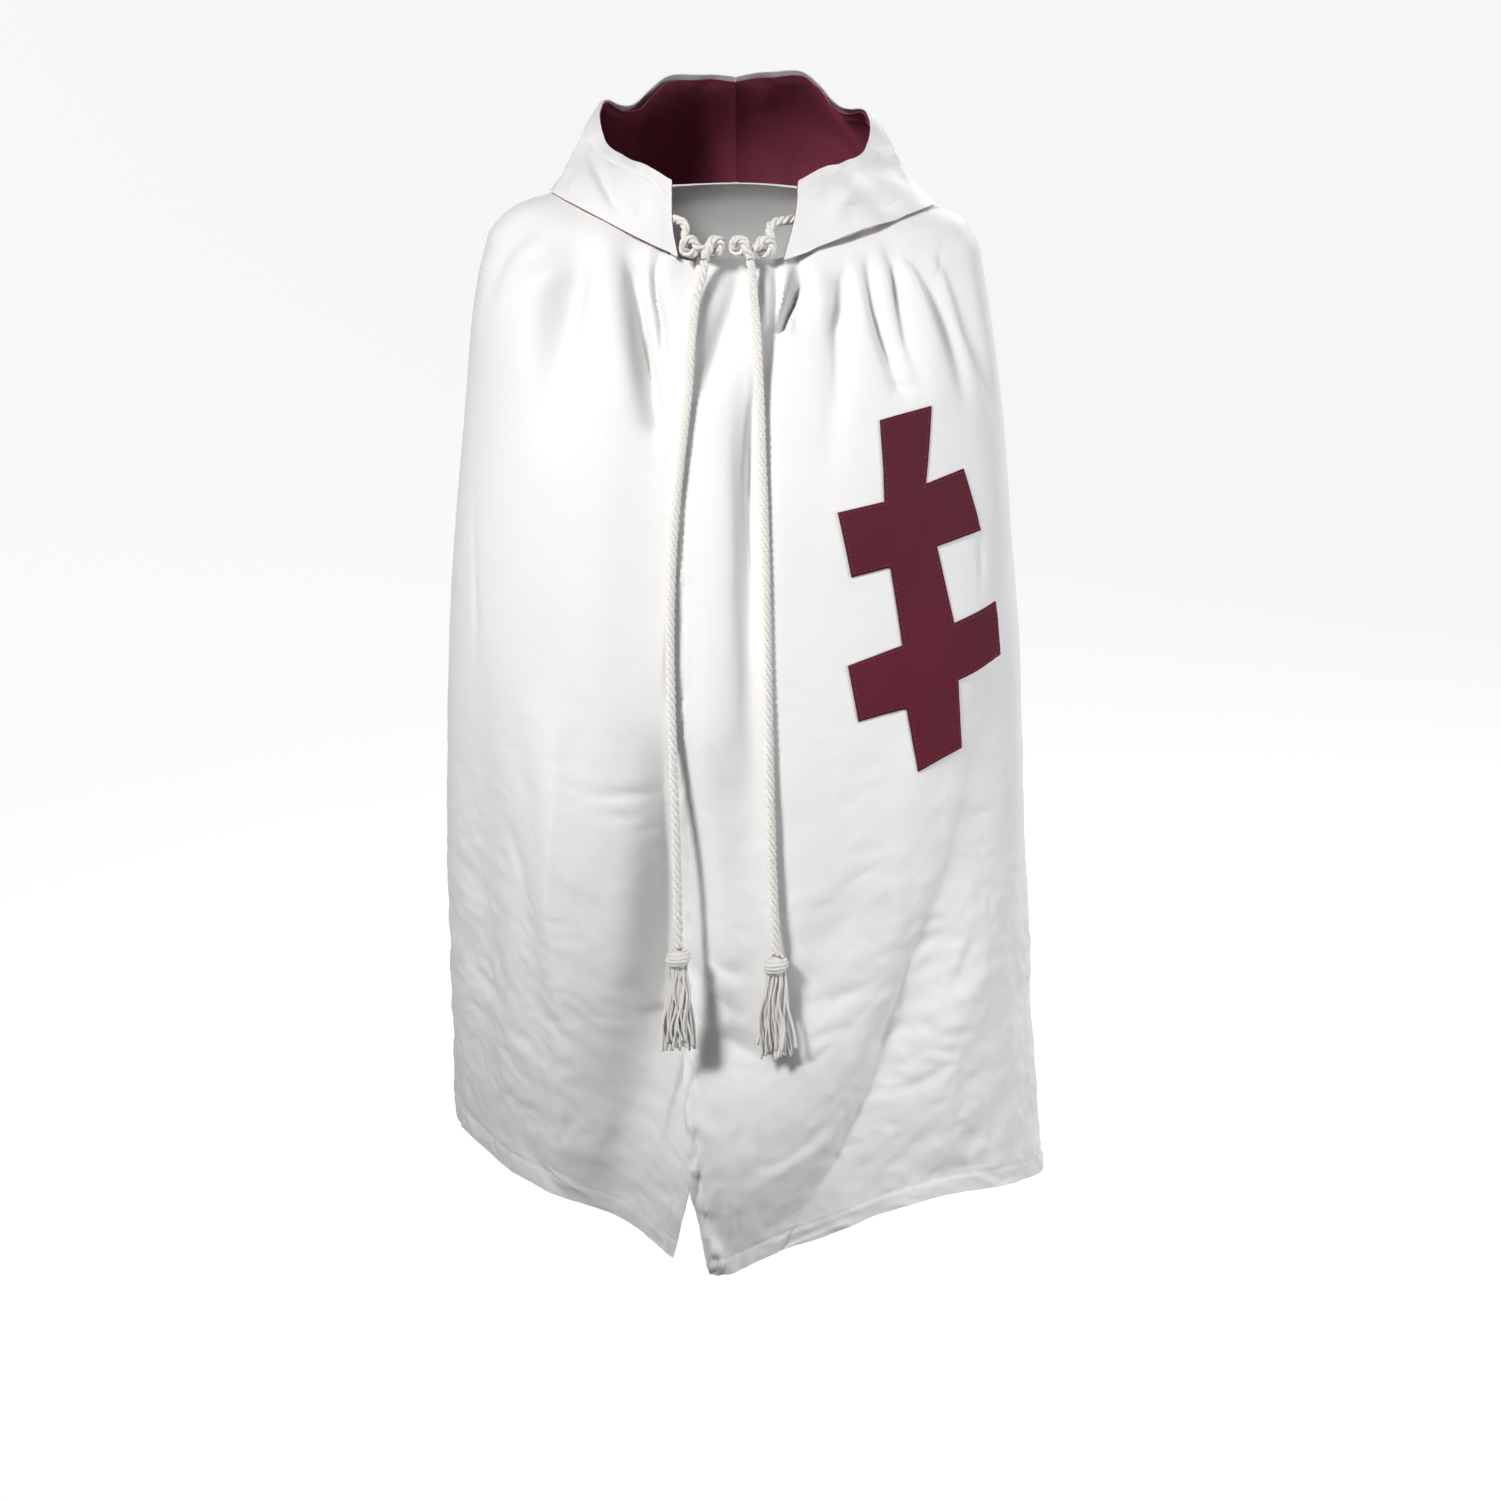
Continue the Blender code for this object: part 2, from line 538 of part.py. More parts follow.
def hood_point(side, angle, step):
    """Point on the hood's white face: a standing band in front, a hanging pouch behind."""
    low = np.full_like(angle, HOOD_OVERLAP)
    foot = drape(side * angle, low) + (MANTLE_CLOTH + HOOD_FOOT_GAP) * drape_normal(side * angle, low)
    toward = mouth_angle(side, angle)
    turn = np.radians(toward)
    out = flowing(column(HOOD_MOUTH, "angle"), column(HOOD_MOUTH, "out"), toward)
    heights = "left_height" if side > 0 else "right_height"
    up = flowing(column(HOOD_MOUTH, "angle"), column(HOOD_MOUTH, heights), toward)
    mouth = np.stack([side * out * np.sin(turn), -out * np.cos(turn), up], -1)
    point = foot + (mouth - foot) * step[..., None]
    level = np.hypot(point[..., 0], point[..., 1])
    plan = point[..., :2] / level[..., None]
    room = 1.0 / np.hypot(plan[..., 0] / POUCH_HALF_WIDTH, plan[..., 1] / POUCH_BACK) - level
    puff = np.where(angle > PUFF_START, ease(room / max(column(HOOD_POUCH, "out"))), 0.0)
    bulge = HOOD_BULGE * np.sin(np.pi * step) * (1 - puff)
    away = flowing(column(HOOD_POUCH, "step"), column(HOOD_POUCH, "out"), step) * puff + bulge
    hang = ease((angle - POUCH_START) / (POUCH_FULL - POUCH_START))
    height = point[..., 2] - flowing(column(HOOD_POUCH, "step"), column(HOOD_POUCH, "drop"), step) * hang
    side_room = POUCH_HALF_WIDTH - POUCH_SIDE_SLOPE * np.maximum(height, 0)
    slim = np.maximum(side_room / np.maximum(np.abs(plan[..., 0]), LEAST_SIDEWAYS), level)
    level = np.maximum(np.minimum(level + away, slim), rest_reach(plan, height, step))
    return np.concatenate([plan * level[..., None], height[..., None]], -1)


def rest_reach(plan, height, step):
    """Least reach of the hood where it hangs over the mantle's back: its under layer rests on the cloth."""
    angle = np.degrees(np.arctan2(plan[..., 0], -plan[..., 1]))
    top = seam_height(angle)
    fall = np.clip((top - height) / (top - hem_height(angle)), 0, 1)
    first, last = POUCH_DEEPENS
    clear = POUCH_REST + POUCH_DEPTH * ease((step - first) / (last - first)) * ease(fall / POUCH_DEEP_FALL)
    return np.where(height < top, ring_reach(angle, fall) + clear, 0.0)


def hood_grid(side):
    """Grid of half the hood with rows going down and columns towards the wearer's left."""
    angles = np.linspace(hood_corner(side), 180.0 - BACK_SEAM_HALF_GAP, HOOD_COLUMNS)
    angle, step = np.meshgrid(angles, HOOD_STEPS[::-1])
    points = hood_point(side, angle, step)
    return points if side > 0 else points[:, ::-1]


def make_hood():
    """Each half of the hood, and its lining on the same points moved in, short of the mouth and the seam."""
    for side, name in ((1, "left"), (-1, "right")):
        outer = hood_grid(side)
        sew("hood_" + name, outer, MANTLE_CLOTH, "white_cloth")
        inner = outer - (MANTLE_CLOTH + LINING_GAP) * grid_normals(outer)
        sew("hood_lining_" + name, inner[LINING_ROWS], LINING_CLOTH, "maroon_lining")


def smooth_route(stops, spacing):
    """Evenly spaced points on a smooth curve through the route's own points."""
    stops = np.array(stops, float)
    keys = np.concatenate([[0], np.cumsum(np.linalg.norm(np.diff(stops, axis=0), axis=1))])
    at = np.linspace(0, keys[-1], max(2, round(keys[-1] / spacing)) + 1)
    return np.stack([flowing(keys, stops[:, axis], at) for axis in range(3)], -1)


def rope(name, points):
    """A round rope along the points, its ends capped."""
    curve = bpy.data.curves.new(name, "CURVE")
    curve.dimensions = "3D"
    curve.bevel_depth = ROPE_DIAMETER / 2
    curve.bevel_resolution = 2
    curve.use_fill_caps = True
    line = curve.splines.new("POLY")
    line.points.add(len(points) - 1)
    for spot, point in zip(line.points, points):
        spot.co = (*point, 1.0)
    return place(name, curve, "white_rope")


def tie_seat(side):
    """Where the tie is sewn on: half a rope in from the hood's lining, behind the hood's front edge."""
    turn, rise = SEAT_PATCH
    angles = hood_corner(side) + TIE_SEAT_ANGLE + np.array([0.0, turn])
    angle, step = np.meshgrid(angles, TIE_SEAT_STEP + np.array([rise, 0.0]))
    patch = hood_point(side, angle, step)
    patch = patch if side > 0 else patch[:, ::-1]
    gap = next(seat.gap for seat in TIE_SEATS if seat.side == side)
    inside = MANTLE_CLOTH + LINING_GAP + LINING_CLOTH + gap + ROPE_DIAMETER / 2
    return tuple((patch - inside * grid_normals(patch))[-1, 0 if side > 0 else -1])


def tie_route(side):
    """Half of the tie: in from the hood's edge, round the outer loop, over to the inner loop, then down."""
    aside, back, height = TIE_LEAD
    stops = [tie_seat(side), (TIE_CENTRE + side * aside, TIE_FRONT + back, height)]
    front = TIE_FRONT
    for loop in TIE_LOOPS:
        for degrees in np.arange(loop.first, loop.last + 1, LOOP_STEP_DEGREES):
            turn = math.radians(degrees)
            depth = front - loop.layer * (degrees - loop.first) / 360
            aside = loop.aside + loop.radius * math.cos(turn)
            stops.append((TIE_CENTRE + side * aside, depth, loop.height + loop.radius * math.sin(turn)))
        front = depth
    for aside, back, height in TIE_END:
        stops.append((TIE_CENTRE + side * aside, TIE_FRONT + back, height))
    return stops


def make_tie():
    for side, name, route in ((1, "left", ROPE_LEFT_ROUTE), (-1, "right", ROPE_RIGHT_ROUTE)):
        rope("tie_knot_" + name, smooth_route(tie_route(side), TIE_STEP))
        rope("rope_" + name, smooth_route(route, ROPE_STEP))
        make_tassel("tassel_" + name, Vector(route[-1]))


def strand(bristles, root, tip, sway, turn):
    """One three-sided tassel strand, bowed aside between its root and its tip."""
    rings = []
    for share in STRAND_SHARES:
        centre = root.lerp(tip, share)
        centre = centre + sway * math.sin(math.pi * share)
        ring = []
        for corner in range(STRAND_SIDES):
            around = turn + corner * 2 * math.pi / STRAND_SIDES
            aside = Vector((math.cos(around), math.sin(around), 0.0)) * STRAND_RADIUS
            ring.append(bristles.verts.new(centre + aside))
        rings.append(ring)
    for upper, lower in zip(rings, rings[1:]):
        for corner in range(STRAND_SIDES):
            after = (corner + 1) % STRAND_SIDES
            bristles.faces.new([upper[corner], lower[corner], lower[after], upper[after]])
    bristles.faces.new(rings[0])
    bristles.faces.new(rings[-1][::-1])


def make_tassel(name, rope_end):
    """A wound head with strands fused into it, flattened against the cloth."""
    top = rope_end - Vector((0, 0, SEAM_GAP))
    centre = top - Vector((0, 0, TASSEL_HEAD_HEIGHT / 2))
    head = bmesh.new()
    around, up = HEAD_SEGMENTS
    bmesh.ops.create_uvsphere(head, u_segments=around, v_segments=up, radius=0.5)
    bmesh.ops.scale(head, verts=head.verts, vec=(TASSEL_HEAD_WIDTH, TASSEL_HEAD_WIDTH, TASSEL_HEAD_HEIGHT))
    bmesh.ops.translate(head, verts=head.verts, vec=centre)
    mesh = bpy.data.meshes.new(name)
    head.to_mesh(mesh)
    head.free()
    mesh.shade_smooth()
    item = place(name, mesh, "white_rope")
    bristles = bmesh.new()
    for number, ring in enumerate(STRAND_RINGS):
        for index in range(ring.count):
            turn = 2 * math.pi * (index + 0.5 * number) / ring.count
            outward = Vector((math.cos(turn), TASSEL_DEPTH_SHARE * math.sin(turn), 0.0))
            root = centre + outward * ring.root
            tip = centre + outward * ring.tip
            tip.y -= TASSEL_LEAN
            uneven = 1.0 - STRAND_UNEVENNESS * math.sin(STRAND_LENGTH_TURN * index)
            tip.z -= TASSEL_SKIRT * ring.length * uneven
            sway = outward * STRAND_SWAY * math.sin(STRAND_SWAY_TURN * index)
            strand(bristles, root, tip, sway, turn)
    fringe_mesh = bpy.data.meshes.new(name + "_strands")
    bristles.to_mesh(fringe_mesh)
    bristles.free()
    fringe = bpy.data.objects.new(name + "_strands", fringe_mesh)
    CUTTERS.objects.link(fringe)
    fringe.hide_render = True
    fringe.display_type = "WIRE"
    fuse = item.modifiers.new("strands", "BOOLEAN")
    fuse.operation = "UNION"
    fuse.solver = "EXACT"
    fuse.use_self = True
    fuse.object = fringe


clear_scene()
MANTLE = make_collection("templar_mantle")
CUTTERS = make_collection("fused_strands")
MATERIALS = {name: make_material(name) for name in FINISHES}
make_panels()
make_hood()
make_tie()
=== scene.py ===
"""Dresses the packed mantle: creased white cloth, satin lining, applique cross, laid rope and tassels.

Metres, +Z up. The wearer faces -Y, so the wearer's left is +X. A place on the cloth is an angle, in degrees
round the neck from the front centre towards the wearer's left, and a fall, the share of the way from the
neck seam down to the hem. A place on the hood is an angle and a step, from the neck seam at 0 to the mouth
at 1.
"""

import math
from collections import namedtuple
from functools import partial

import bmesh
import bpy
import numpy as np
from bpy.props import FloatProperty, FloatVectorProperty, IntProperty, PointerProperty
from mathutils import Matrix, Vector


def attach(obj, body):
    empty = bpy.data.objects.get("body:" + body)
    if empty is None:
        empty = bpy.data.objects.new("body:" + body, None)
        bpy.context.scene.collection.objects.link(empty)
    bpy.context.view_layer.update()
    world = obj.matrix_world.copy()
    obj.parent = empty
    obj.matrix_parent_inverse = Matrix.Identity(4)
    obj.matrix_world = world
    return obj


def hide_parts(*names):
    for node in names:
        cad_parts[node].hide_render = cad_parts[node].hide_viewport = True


bl_info = {
    "name": "Templar mantle",
    "version": (1, 0, 0),
    "blender": (4, 5, 0),
    "location": "View3D > Sidebar > Mantle",
    "description": "Adds the cloth, lining, cross, rope tie and studio of a hooded mantle",
    "category": "Add Mesh",
}

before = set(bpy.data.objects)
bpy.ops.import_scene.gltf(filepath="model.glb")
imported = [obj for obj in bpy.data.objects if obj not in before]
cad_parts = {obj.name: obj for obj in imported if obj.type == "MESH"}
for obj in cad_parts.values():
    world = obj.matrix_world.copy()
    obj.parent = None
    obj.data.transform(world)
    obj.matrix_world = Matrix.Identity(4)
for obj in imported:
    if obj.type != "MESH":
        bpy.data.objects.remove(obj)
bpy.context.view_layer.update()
BODY = "root"

# Neck seam heights and the cloth's length, which scales the folds
SEAM_FRONT_HEIGHT = -0.045
SEAM_RIGHT_HEIGHT = 0.024
SEAM_LEFT_HEIGHT = 0.012
SEAM_BACK_HEIGHT = 0.030
CLOTH_LENGTH = 0.95
SOLID_WALL = 0.0016

# Half widths and depths of the draped cloth; fullness 2 is an ellipse, less is pointed, more is boxy
Section = namedtuple("Section", "fall right left front back fullness")
SECTIONS = [
    Section(0.000, 0.169, 0.186, 0.125, 0.105, 2.05),
    Section(0.010, 0.203, 0.214, 0.135, 0.117, 2.10),
    Section(0.030, 0.231, 0.233, 0.149, 0.131, 2.15),
    Section(0.065, 0.246, 0.243, 0.166, 0.146, 2.20),
    Section(0.110, 0.255, 0.251, 0.184, 0.158, 2.20),
    Section(0.200, 0.265, 0.264, 0.205, 0.169, 2.15),
    Section(0.350, 0.279, 0.279, 0.221, 0.176, 2.10),
    Section(0.550, 0.290, 0.290, 0.234, 0.183, 2.00),
    Section(0.780, 0.294, 0.303, 0.245, 0.193, 1.90),
    Section(1.000, 0.289, 0.319, 0.254, 0.204, 1.85),
]

# Height of the hem round the wearer
HemPoint = namedtuple("HemPoint", "angle height")
HEM = [
    HemPoint(-180, -0.975),
    HemPoint(-150, -0.966),
    HemPoint(-120, -0.938),
    HemPoint(-90, -0.918),
    HemPoint(-60, -0.926),
    HemPoint(-40, -0.940),
    HemPoint(-24, -0.968),
    HemPoint(-13, -0.996),
    HemPoint(-6, -1.006),
    HemPoint(6, -0.992),
    HemPoint(18, -0.978),
    HemPoint(30, -0.958),
    HemPoint(45, -0.945),
    HemPoint(65, -0.955),
    HemPoint(90, -0.979),
    HemPoint(120, -0.976),
    HemPoint(150, -0.972),
    HemPoint(180, -0.975),
]

# Free edges of the fronts and the side seams, which swing back as they fall
Edge = namedtuple("Edge", "fall over under side")
EDGES = [
    Edge(0.00, -16.0, -4.0, 84.0),
    Edge(0.03, -15.0, -4.0, 84.5),
    Edge(0.08, -17.5, -4.5, 85.0),
    Edge(0.18, -16.5, -5.0, 86.5),
    Edge(0.50, -15.0, -5.5, 96.5),
    Edge(0.76, -14.0, -6.0, 99.0),
    Edge(0.89, -11.0, -9.6, 100.0),
    Edge(1.00, -6.0, -15.0, 100.0),
]
UNDERLAP_DEPTH = 0.0056
UNDERLAP_START = -34.0
UNDERLAP_FULL = -20.0

# Folds: a path over the cloth, half widths on its two sides, depth (ridges positive), strength at its start,
# the share of its path where it is strongest, and strength at its end
Fold = namedtuple("Fold", "path before after depth start peak end")
PLEATS = [
    Fold([(17, 0.0), (12, 0.07), (9, 0.16)], 0.008, 0.009, -0.012, 0.9, 0.4, 0.0),
    Fold([(25, 0.0), (18, 0.08)], 0.009, 0.011, -0.018, 0.8, 0.5, 0.0),
    Fold([(40, 0.0), (35, 0.05), (29, 0.10), (23, 0.26)], 0.014, 0.015, -0.017, 0.7, 0.4, 0.0),
    Fold([(47, 0.0), (43, 0.07), (44, 0.17)], 0.009, 0.010, -0.015, 0.7, 0.6, 0.0),
    Fold([(55, 0.0), (51, 0.06), (49, 0.18)], 0.009, 0.010, -0.014, 0.7, 0.5, 0.0),
    Fold([(58, 0.0), (61, 0.07), (62, 0.21)], 0.010, 0.012, -0.013, 0.5, 0.5, 0.0),
    Fold([(69, 0.0), (69, 0.10), (75, 0.22)], 0.012, 0.014, -0.012, 0.4, 0.5, 0.0),
    Fold([(-52, 0.0), (-48, 0.10), (-47, 0.25)], 0.020, 0.022, -0.018, 0.3, 0.5, 0.0),
    Fold([(-38, 0.0), (-31, 0.04), (-26, 0.09), (-20.5, 0.18)], 0.010, 0.012, -0.022, 0.7, 0.6, 0.0),
    Fold([(-31, 0.0), (-23.5, 0.06), (-19, 0.13)], 0.007, 0.008, -0.011, 0.8, 0.5, 0.0),
    Fold([(-66, 0.0), (-72, 0.05), (-74, 0.14)], 0.012, 0.014, -0.009, 0.7, 0.4, 0.0),
    Fold([(1, 0.01), (-6, 0.08), (-10, 0.14)], 0.014, 0.009, -0.011, 0.7, 0.3, 0.0),
]
FRONT_FALLS = [
    Fold([(9, 0.03), (6, 0.15), (4, 0.30), (4, 0.42), (6.5, 0.64)], 0.013, 0.010, -0.010, 0.3, 0.5, 0.0),
    Fold([(-5, 0.14), (-5, 0.40), (-4, 0.70)], 0.020, 0.020, 0.009, 0.2, 0.5, 0.3),
    Fold([(-9, 0.735), (-1, 0.755), (6, 0.778), (15, 0.80)], 0.010, 0.012, -0.003, 0.3, 0.4, 0.0),
    Fold([(-15, 0.42), (-17, 0.53), (-19, 0.65), (-22, 0.77), (-26, 0.88), (-30, 1.0)],
         0.034, 0.048, -0.032, 0.0, 0.7, 0.5),
    Fold([(-47, 0.45), (-41, 0.57), (-40, 0.71), (-38, 0.86), (-42, 1.0)],
         0.028, 0.030, 0.015, 0.0, 0.5, 0.5),
    Fold([(-63, 0.40), (-66, 0.70), (-68, 1.0)], 0.036, 0.040, -0.013, 0.0, 0.6, 0.5),
    Fold([(62, 0.50), (49, 0.66), (39, 0.77), (28, 0.88), (16, 1.0)], 0.045, 0.040, -0.003, 0.0, 0.6, 0.8),
    Fold([(37, 0.59), (21, 0.68), (10, 0.78)], 0.024, 0.026, -0.004, 0.0, 0.5, 0.0),
    Fold([(66, 0.66), (52, 0.82), (42, 1.0)], 0.034, 0.036, 0.006, 0.0, 0.7, 0.7),
    Fold([(84, 0.45), (80, 0.74), (76, 1.0)], 0.030, 0.034, -0.005, 0.0, 0.7, 0.6),
    Fold([(18, 0.70), (6, 0.88), (2, 1.0)], 0.040, 0.046, 0.012, 0.0, 0.5, 0.2),
]
BACK_FALLS = [
    Fold([(118, 0.30), (116, 0.62), (112, 1.0)], 0.030, 0.034, -0.018, 0.0, 0.7, 1.0),
    Fold([(136, 0.24), (137, 0.60), (134, 1.0)], 0.028, 0.030, 0.013, 0.0, 0.7, 1.0),
    Fold([(153, 0.10), (155, 0.50), (156, 1.0)], 0.028, 0.030, -0.024, 0.0, 0.7, 1.0),
    Fold([(-116, 0.34), (-115, 0.66), (-111, 1.0)], 0.032, 0.030, -0.020, 0.0, 0.7, 1.0),
    Fold([(-134, 0.22), (-136, 0.60), (-137, 1.0)], 0.026, 0.030, 0.012, 0.0, 0.7, 1.0),
    Fold([(-156, 0.12), (-157, 0.50), (-154, 1.0)], 0.030, 0.028, -0.022, 0.0, 0.7, 1.0),
]
FOLDS = PLEATS + FRONT_FALLS + BACK_FALLS

# Finer creases within and between the folds
NECK_CREASES = [
    Fold([(24.5, 0.010), (21, 0.026), (17.8, 0.043), (15.8, 0.057)], 0.0060, 0.0045, -0.034, 0.6, 0.7, 0.9),
    Fold([(17, 0.0), (12.5, 0.06), (10, 0.12)], 0.004, 0.005, -0.004, 0.8, 0.4, 0.0),
    Fold([(28, 0.0), (25.5, 0.05), (24, 0.10)], 0.005, 0.006, -0.004, 0.8, 0.3, 0.0),
    Fold([(33, 0.0), (34.5, 0.036), (32.5, 0.076), (28, 0.145), (23, 0.235)],
         0.010, 0.013, -0.006, 0.6, 0.4, 0.0),
    Fold([(44, 0.147), (46.5, 0.152), (48.5, 0.151)], 0.0035, 0.0035, -0.004, 0.7, 0.4, 0.2),
    Fold([(62, 0.0), (67, 0.05), (70, 0.10)], 0.006, 0.006, -0.004, 0.6, 0.4, 0.0),
    Fold([(68.5, 0.03), (65, 0.05), (62, 0.058)], 0.005, 0.005, -0.003, 0.4, 0.5, 0.2),
    Fold([(-50, 0.02), (-49.5, 0.08), (-50, 0.17)], 0.022, 0.012, -0.014, 0.4, 0.5, 0.0),
    Fold([(-31, 0.0), (-23.5, 0.06), (-19, 0.12)], 0.004, 0.004, -0.005, 0.7, 0.5, 0.0),
    Fold([(-77, 0.026), (-71, 0.018), (-65.5, 0.01)], 0.004, 0.006, -0.003, 0.3, 0.5, 0.3),
    Fold([(-68, 0.105), (-64.5, 0.09), (-58, 0.054), (-55, 0.031)], 0.006, 0.010, -0.004, 0.2, 0.6, 0.3),
]
FRONT_CREASES = [
    Fold([(-43.5, 0.42), (-42, 0.485), (-41, 0.57), (-42, 0.69), (-38, 0.78), (-37, 0.86)],
         0.030, 0.010, 0.004, 0.0, 0.5, 0.0),
    Fold([(-71, 0.28), (-67, 0.40), (-66, 0.50)], 0.005, 0.008, -0.002, 0.2, 0.5, 0.0),
    Fold([(62.5, 0.30), (62, 0.38)], 0.004, 0.006, -0.002, 0.3, 0.5, 0.0),
    Fold([(-35, 0.557), (-27, 0.541), (-18.5, 0.524)], 0.004, 0.006, -0.003, 0.1, 0.6, 0.3),
    Fold([(-33, 0.571), (-26, 0.563), (-20.5, 0.551)], 0.004, 0.006, -0.002, 0.1, 0.5, 0.2),
    Fold([(-26, 0.578), (-22, 0.57), (-18.5, 0.559)], 0.003, 0.005, -0.002, 0.2, 0.6, 0.3),
    Fold([(-24.5, 0.772), (-19, 0.764), (-13, 0.758)], 0.008, 0.008, -0.006, 0.4, 0.4, 0.2),
    Fold([(-12, 0.69), (2, 0.72), (16, 0.75)], 0.050, 0.050, -0.006, 0.5, 0.5, 0.3),
    Fold([(-12, 0.50), (-13, 0.75), (-16, 0.92)], 0.040, 0.022, -0.021, 0.0, 0.5, 0.3),
    Fold([(-10, 1.04), (10, 1.04), (30, 1.03)], 0.120, 0.120, -0.034, 0.6, 0.5, 0.5),
    Fold([(-10, 0.744), (-7, 0.763), (-1, 0.774), (5, 0.775), (10, 0.769)],
         0.008, 0.012, -0.002, 0.3, 0.4, 0.0),
    Fold([(-7, 0.657), (-4.5, 0.676), (0.5, 0.691), (4, 0.698)], 0.006, 0.009, -0.004, 0.2, 0.5, 0.0),
    Fold([(13.5, 0.734), (24, 0.743), (35, 0.748)], 0.005, 0.008, -0.0022, 0.2, 0.5, 0.0),
    Fold([(12, 0.768), (22, 0.775), (31, 0.777)], 0.005, 0.008, -0.0022, 0.2, 0.4, 0.0),
    Fold([(-5, 0.78), (3, 0.795), (13.5, 0.80)], 0.005, 0.007, -0.0024, 0.3, 0.5, 0.0),
    Fold([(34, 0.82), (25, 0.90), (16, 0.955), (10, 1.0)], 0.026, 0.020, -0.004, 0.3, 0.4, 0.3),
    Fold([(52, 0.84), (44, 0.868), (36, 0.88)], 0.005, 0.008, -0.0024, 0.1, 0.5, 0.0),
    Fold([(60, 0.72), (54, 0.76), (49, 0.815)], 0.007, 0.010, -0.0026, 0.1, 0.4, 0.0),
    Fold([(-58, 0.60), (-52, 0.655), (-49, 0.72)], 0.008, 0.012, -0.0030, 0.0, 0.5, 0.0),
    Fold([(-60, 0.83), (-53, 0.845), (-46, 0.842)], 0.006, 0.009, -0.0026, 0.1, 0.5, 0.0),
]
BACK_CREASES = [
    Fold([(126, 0.30), (127, 0.45), (125, 0.62)], 0.007, 0.010, -0.005, 0.0, 0.5, 0.0),
    Fold([(146, 0.26), (144, 0.42), (146, 0.70)], 0.008, 0.006, -0.005, 0.0, 0.4, 0.0),
    Fold([(166, 0.30), (168, 0.52), (166, 0.88)], 0.010, 0.008, -0.006, 0.0, 0.5, 0.2),
    Fold([(108, 0.50), (106, 0.70), (104, 0.96)], 0.009, 0.012, -0.005, 0.0, 0.6, 0.2),
    Fold([(-125, 0.36), (-126, 0.50), (-124, 0.72)], 0.008, 0.010, -0.005, 0.0, 0.5, 0.0),
    Fold([(-147, 0.28), (-145, 0.48), (-147, 0.66)], 0.006, 0.009, -0.005, 0.0, 0.4, 0.0),
    Fold([(-168, 0.34), (-166, 0.60), (-168, 0.92)], 0.009, 0.010, -0.006, 0.0, 0.6, 0.2),
    Fold([(-107, 0.46), (-105, 0.66), (-103, 0.90)], 0.010, 0.008, -0.005, 0.0, 0.5, 0.1),
    Fold([(160, 0.60), (150, 0.625), (141, 0.63)], 0.006, 0.009, -0.0024, 0.1, 0.5, 0.0),
    Fold([(-141, 0.73), (-151, 0.745), (-160, 0.74)], 0.006, 0.009, -0.0024, 0.1, 0.5, 0.0),
    Fold([(130, 0.80), (121, 0.815), (113, 0.812)], 0.005, 0.008, -0.0022, 0.1, 0.5, 0.0),
    Fold([(-118, 0.58), (-128, 0.60), (-134, 0.598)], 0.006, 0.008, -0.0022, 0.1, 0.5, 0.0),
]
CREASES = NECK_CREASES + FRONT_CREASES + BACK_CREASES

# Tucks: creases that steepen up to their line on the side before it and break there
TUCKS = [
    Fold([(-44, 0.0), (-35.5, 0.03), (-30, 0.07), (-25, 0.11), (-21, 0.158)],
         0.012, 0.010, -0.022, 0.5, 0.6, 0.7),
    Fold([(-31, 0.0), (-23.5, 0.06), (-19, 0.12)], 0.005, 0.006, -0.006, 0.7, 0.5, 0.0),
    Fold([(4.8, 0.006), (-0.5, 0.041), (-5.8, 0.088), (-10.8, 0.138)], 0.022, 0.014, -0.010, 0.8, 0.4, 0.1),
    Fold([(6, 0.09), (4.6, 0.14), (3.7, 0.20), (4.2, 0.26), (5.5, 0.40)],
         0.010, 0.009, -0.018, 0.1, 0.5, 0.0),
    Fold([(47, 0.0), (43.5, 0.06), (44, 0.11), (44, 0.147)], 0.009, 0.014, -0.009, 0.6, 0.6, 0.7),
    Fold([(55, 0.0), (49, 0.07), (49, 0.105), (49.5, 0.146)], 0.008, 0.014, -0.008, 0.6, 0.6, 0.3),
    Fold([(56, 0.0), (59, 0.065), (61, 0.13), (63.5, 0.195)], 0.009, 0.016, -0.008, 0.6, 0.5, 0.0),
    Fold([(-17, 0.43), (-17.5, 0.485), (-17.5, 0.555), (-18, 0.625), (-19, 0.705), (-20.5, 0.775),
          (-23, 0.845)],
         0.026, 0.085, -0.030, 0.1, 0.5, 0.0),
    Fold([(64.5, 0.489), (58, 0.56), (50, 0.665), (44, 0.716), (40, 0.763), (36, 0.81), (33, 0.85),
          (24, 0.92), (15, 0.973)],
         0.019, 0.045, -0.014, 0.1, 0.65, 0.5),
    Fold([(8, 0.742), (1.5, 0.733), (-4, 0.717), (-8.5, 0.701), (-12, 0.690), (-17, 0.684)],
         0.012, 0.025, -0.015, 0.0, 0.5, 0.0),
    Fold([(24, 0.803), (13, 0.795), (4.5, 0.780), (-1, 0.762), (-7, 0.748), (-12, 0.740), (-19, 0.736)],
         0.018, 0.085, -0.027, 0.0, 0.5, 0.0),
]
FOLD_PATH_STEPS = 10
FOLD_REACH = 3.0
TUCK_STEEPNESS = 3
RIDGE_CLEAR_FALL = 0.05
SEAM_HOLD = 0.22
SEAM_HOLD_FALL = 0.034
FRONT_RELEASE = 0.65
FRONT_RELEASE_ANGLE = 28.0
NORMAL_TURN = 0.2
NORMAL_FALL = 0.004

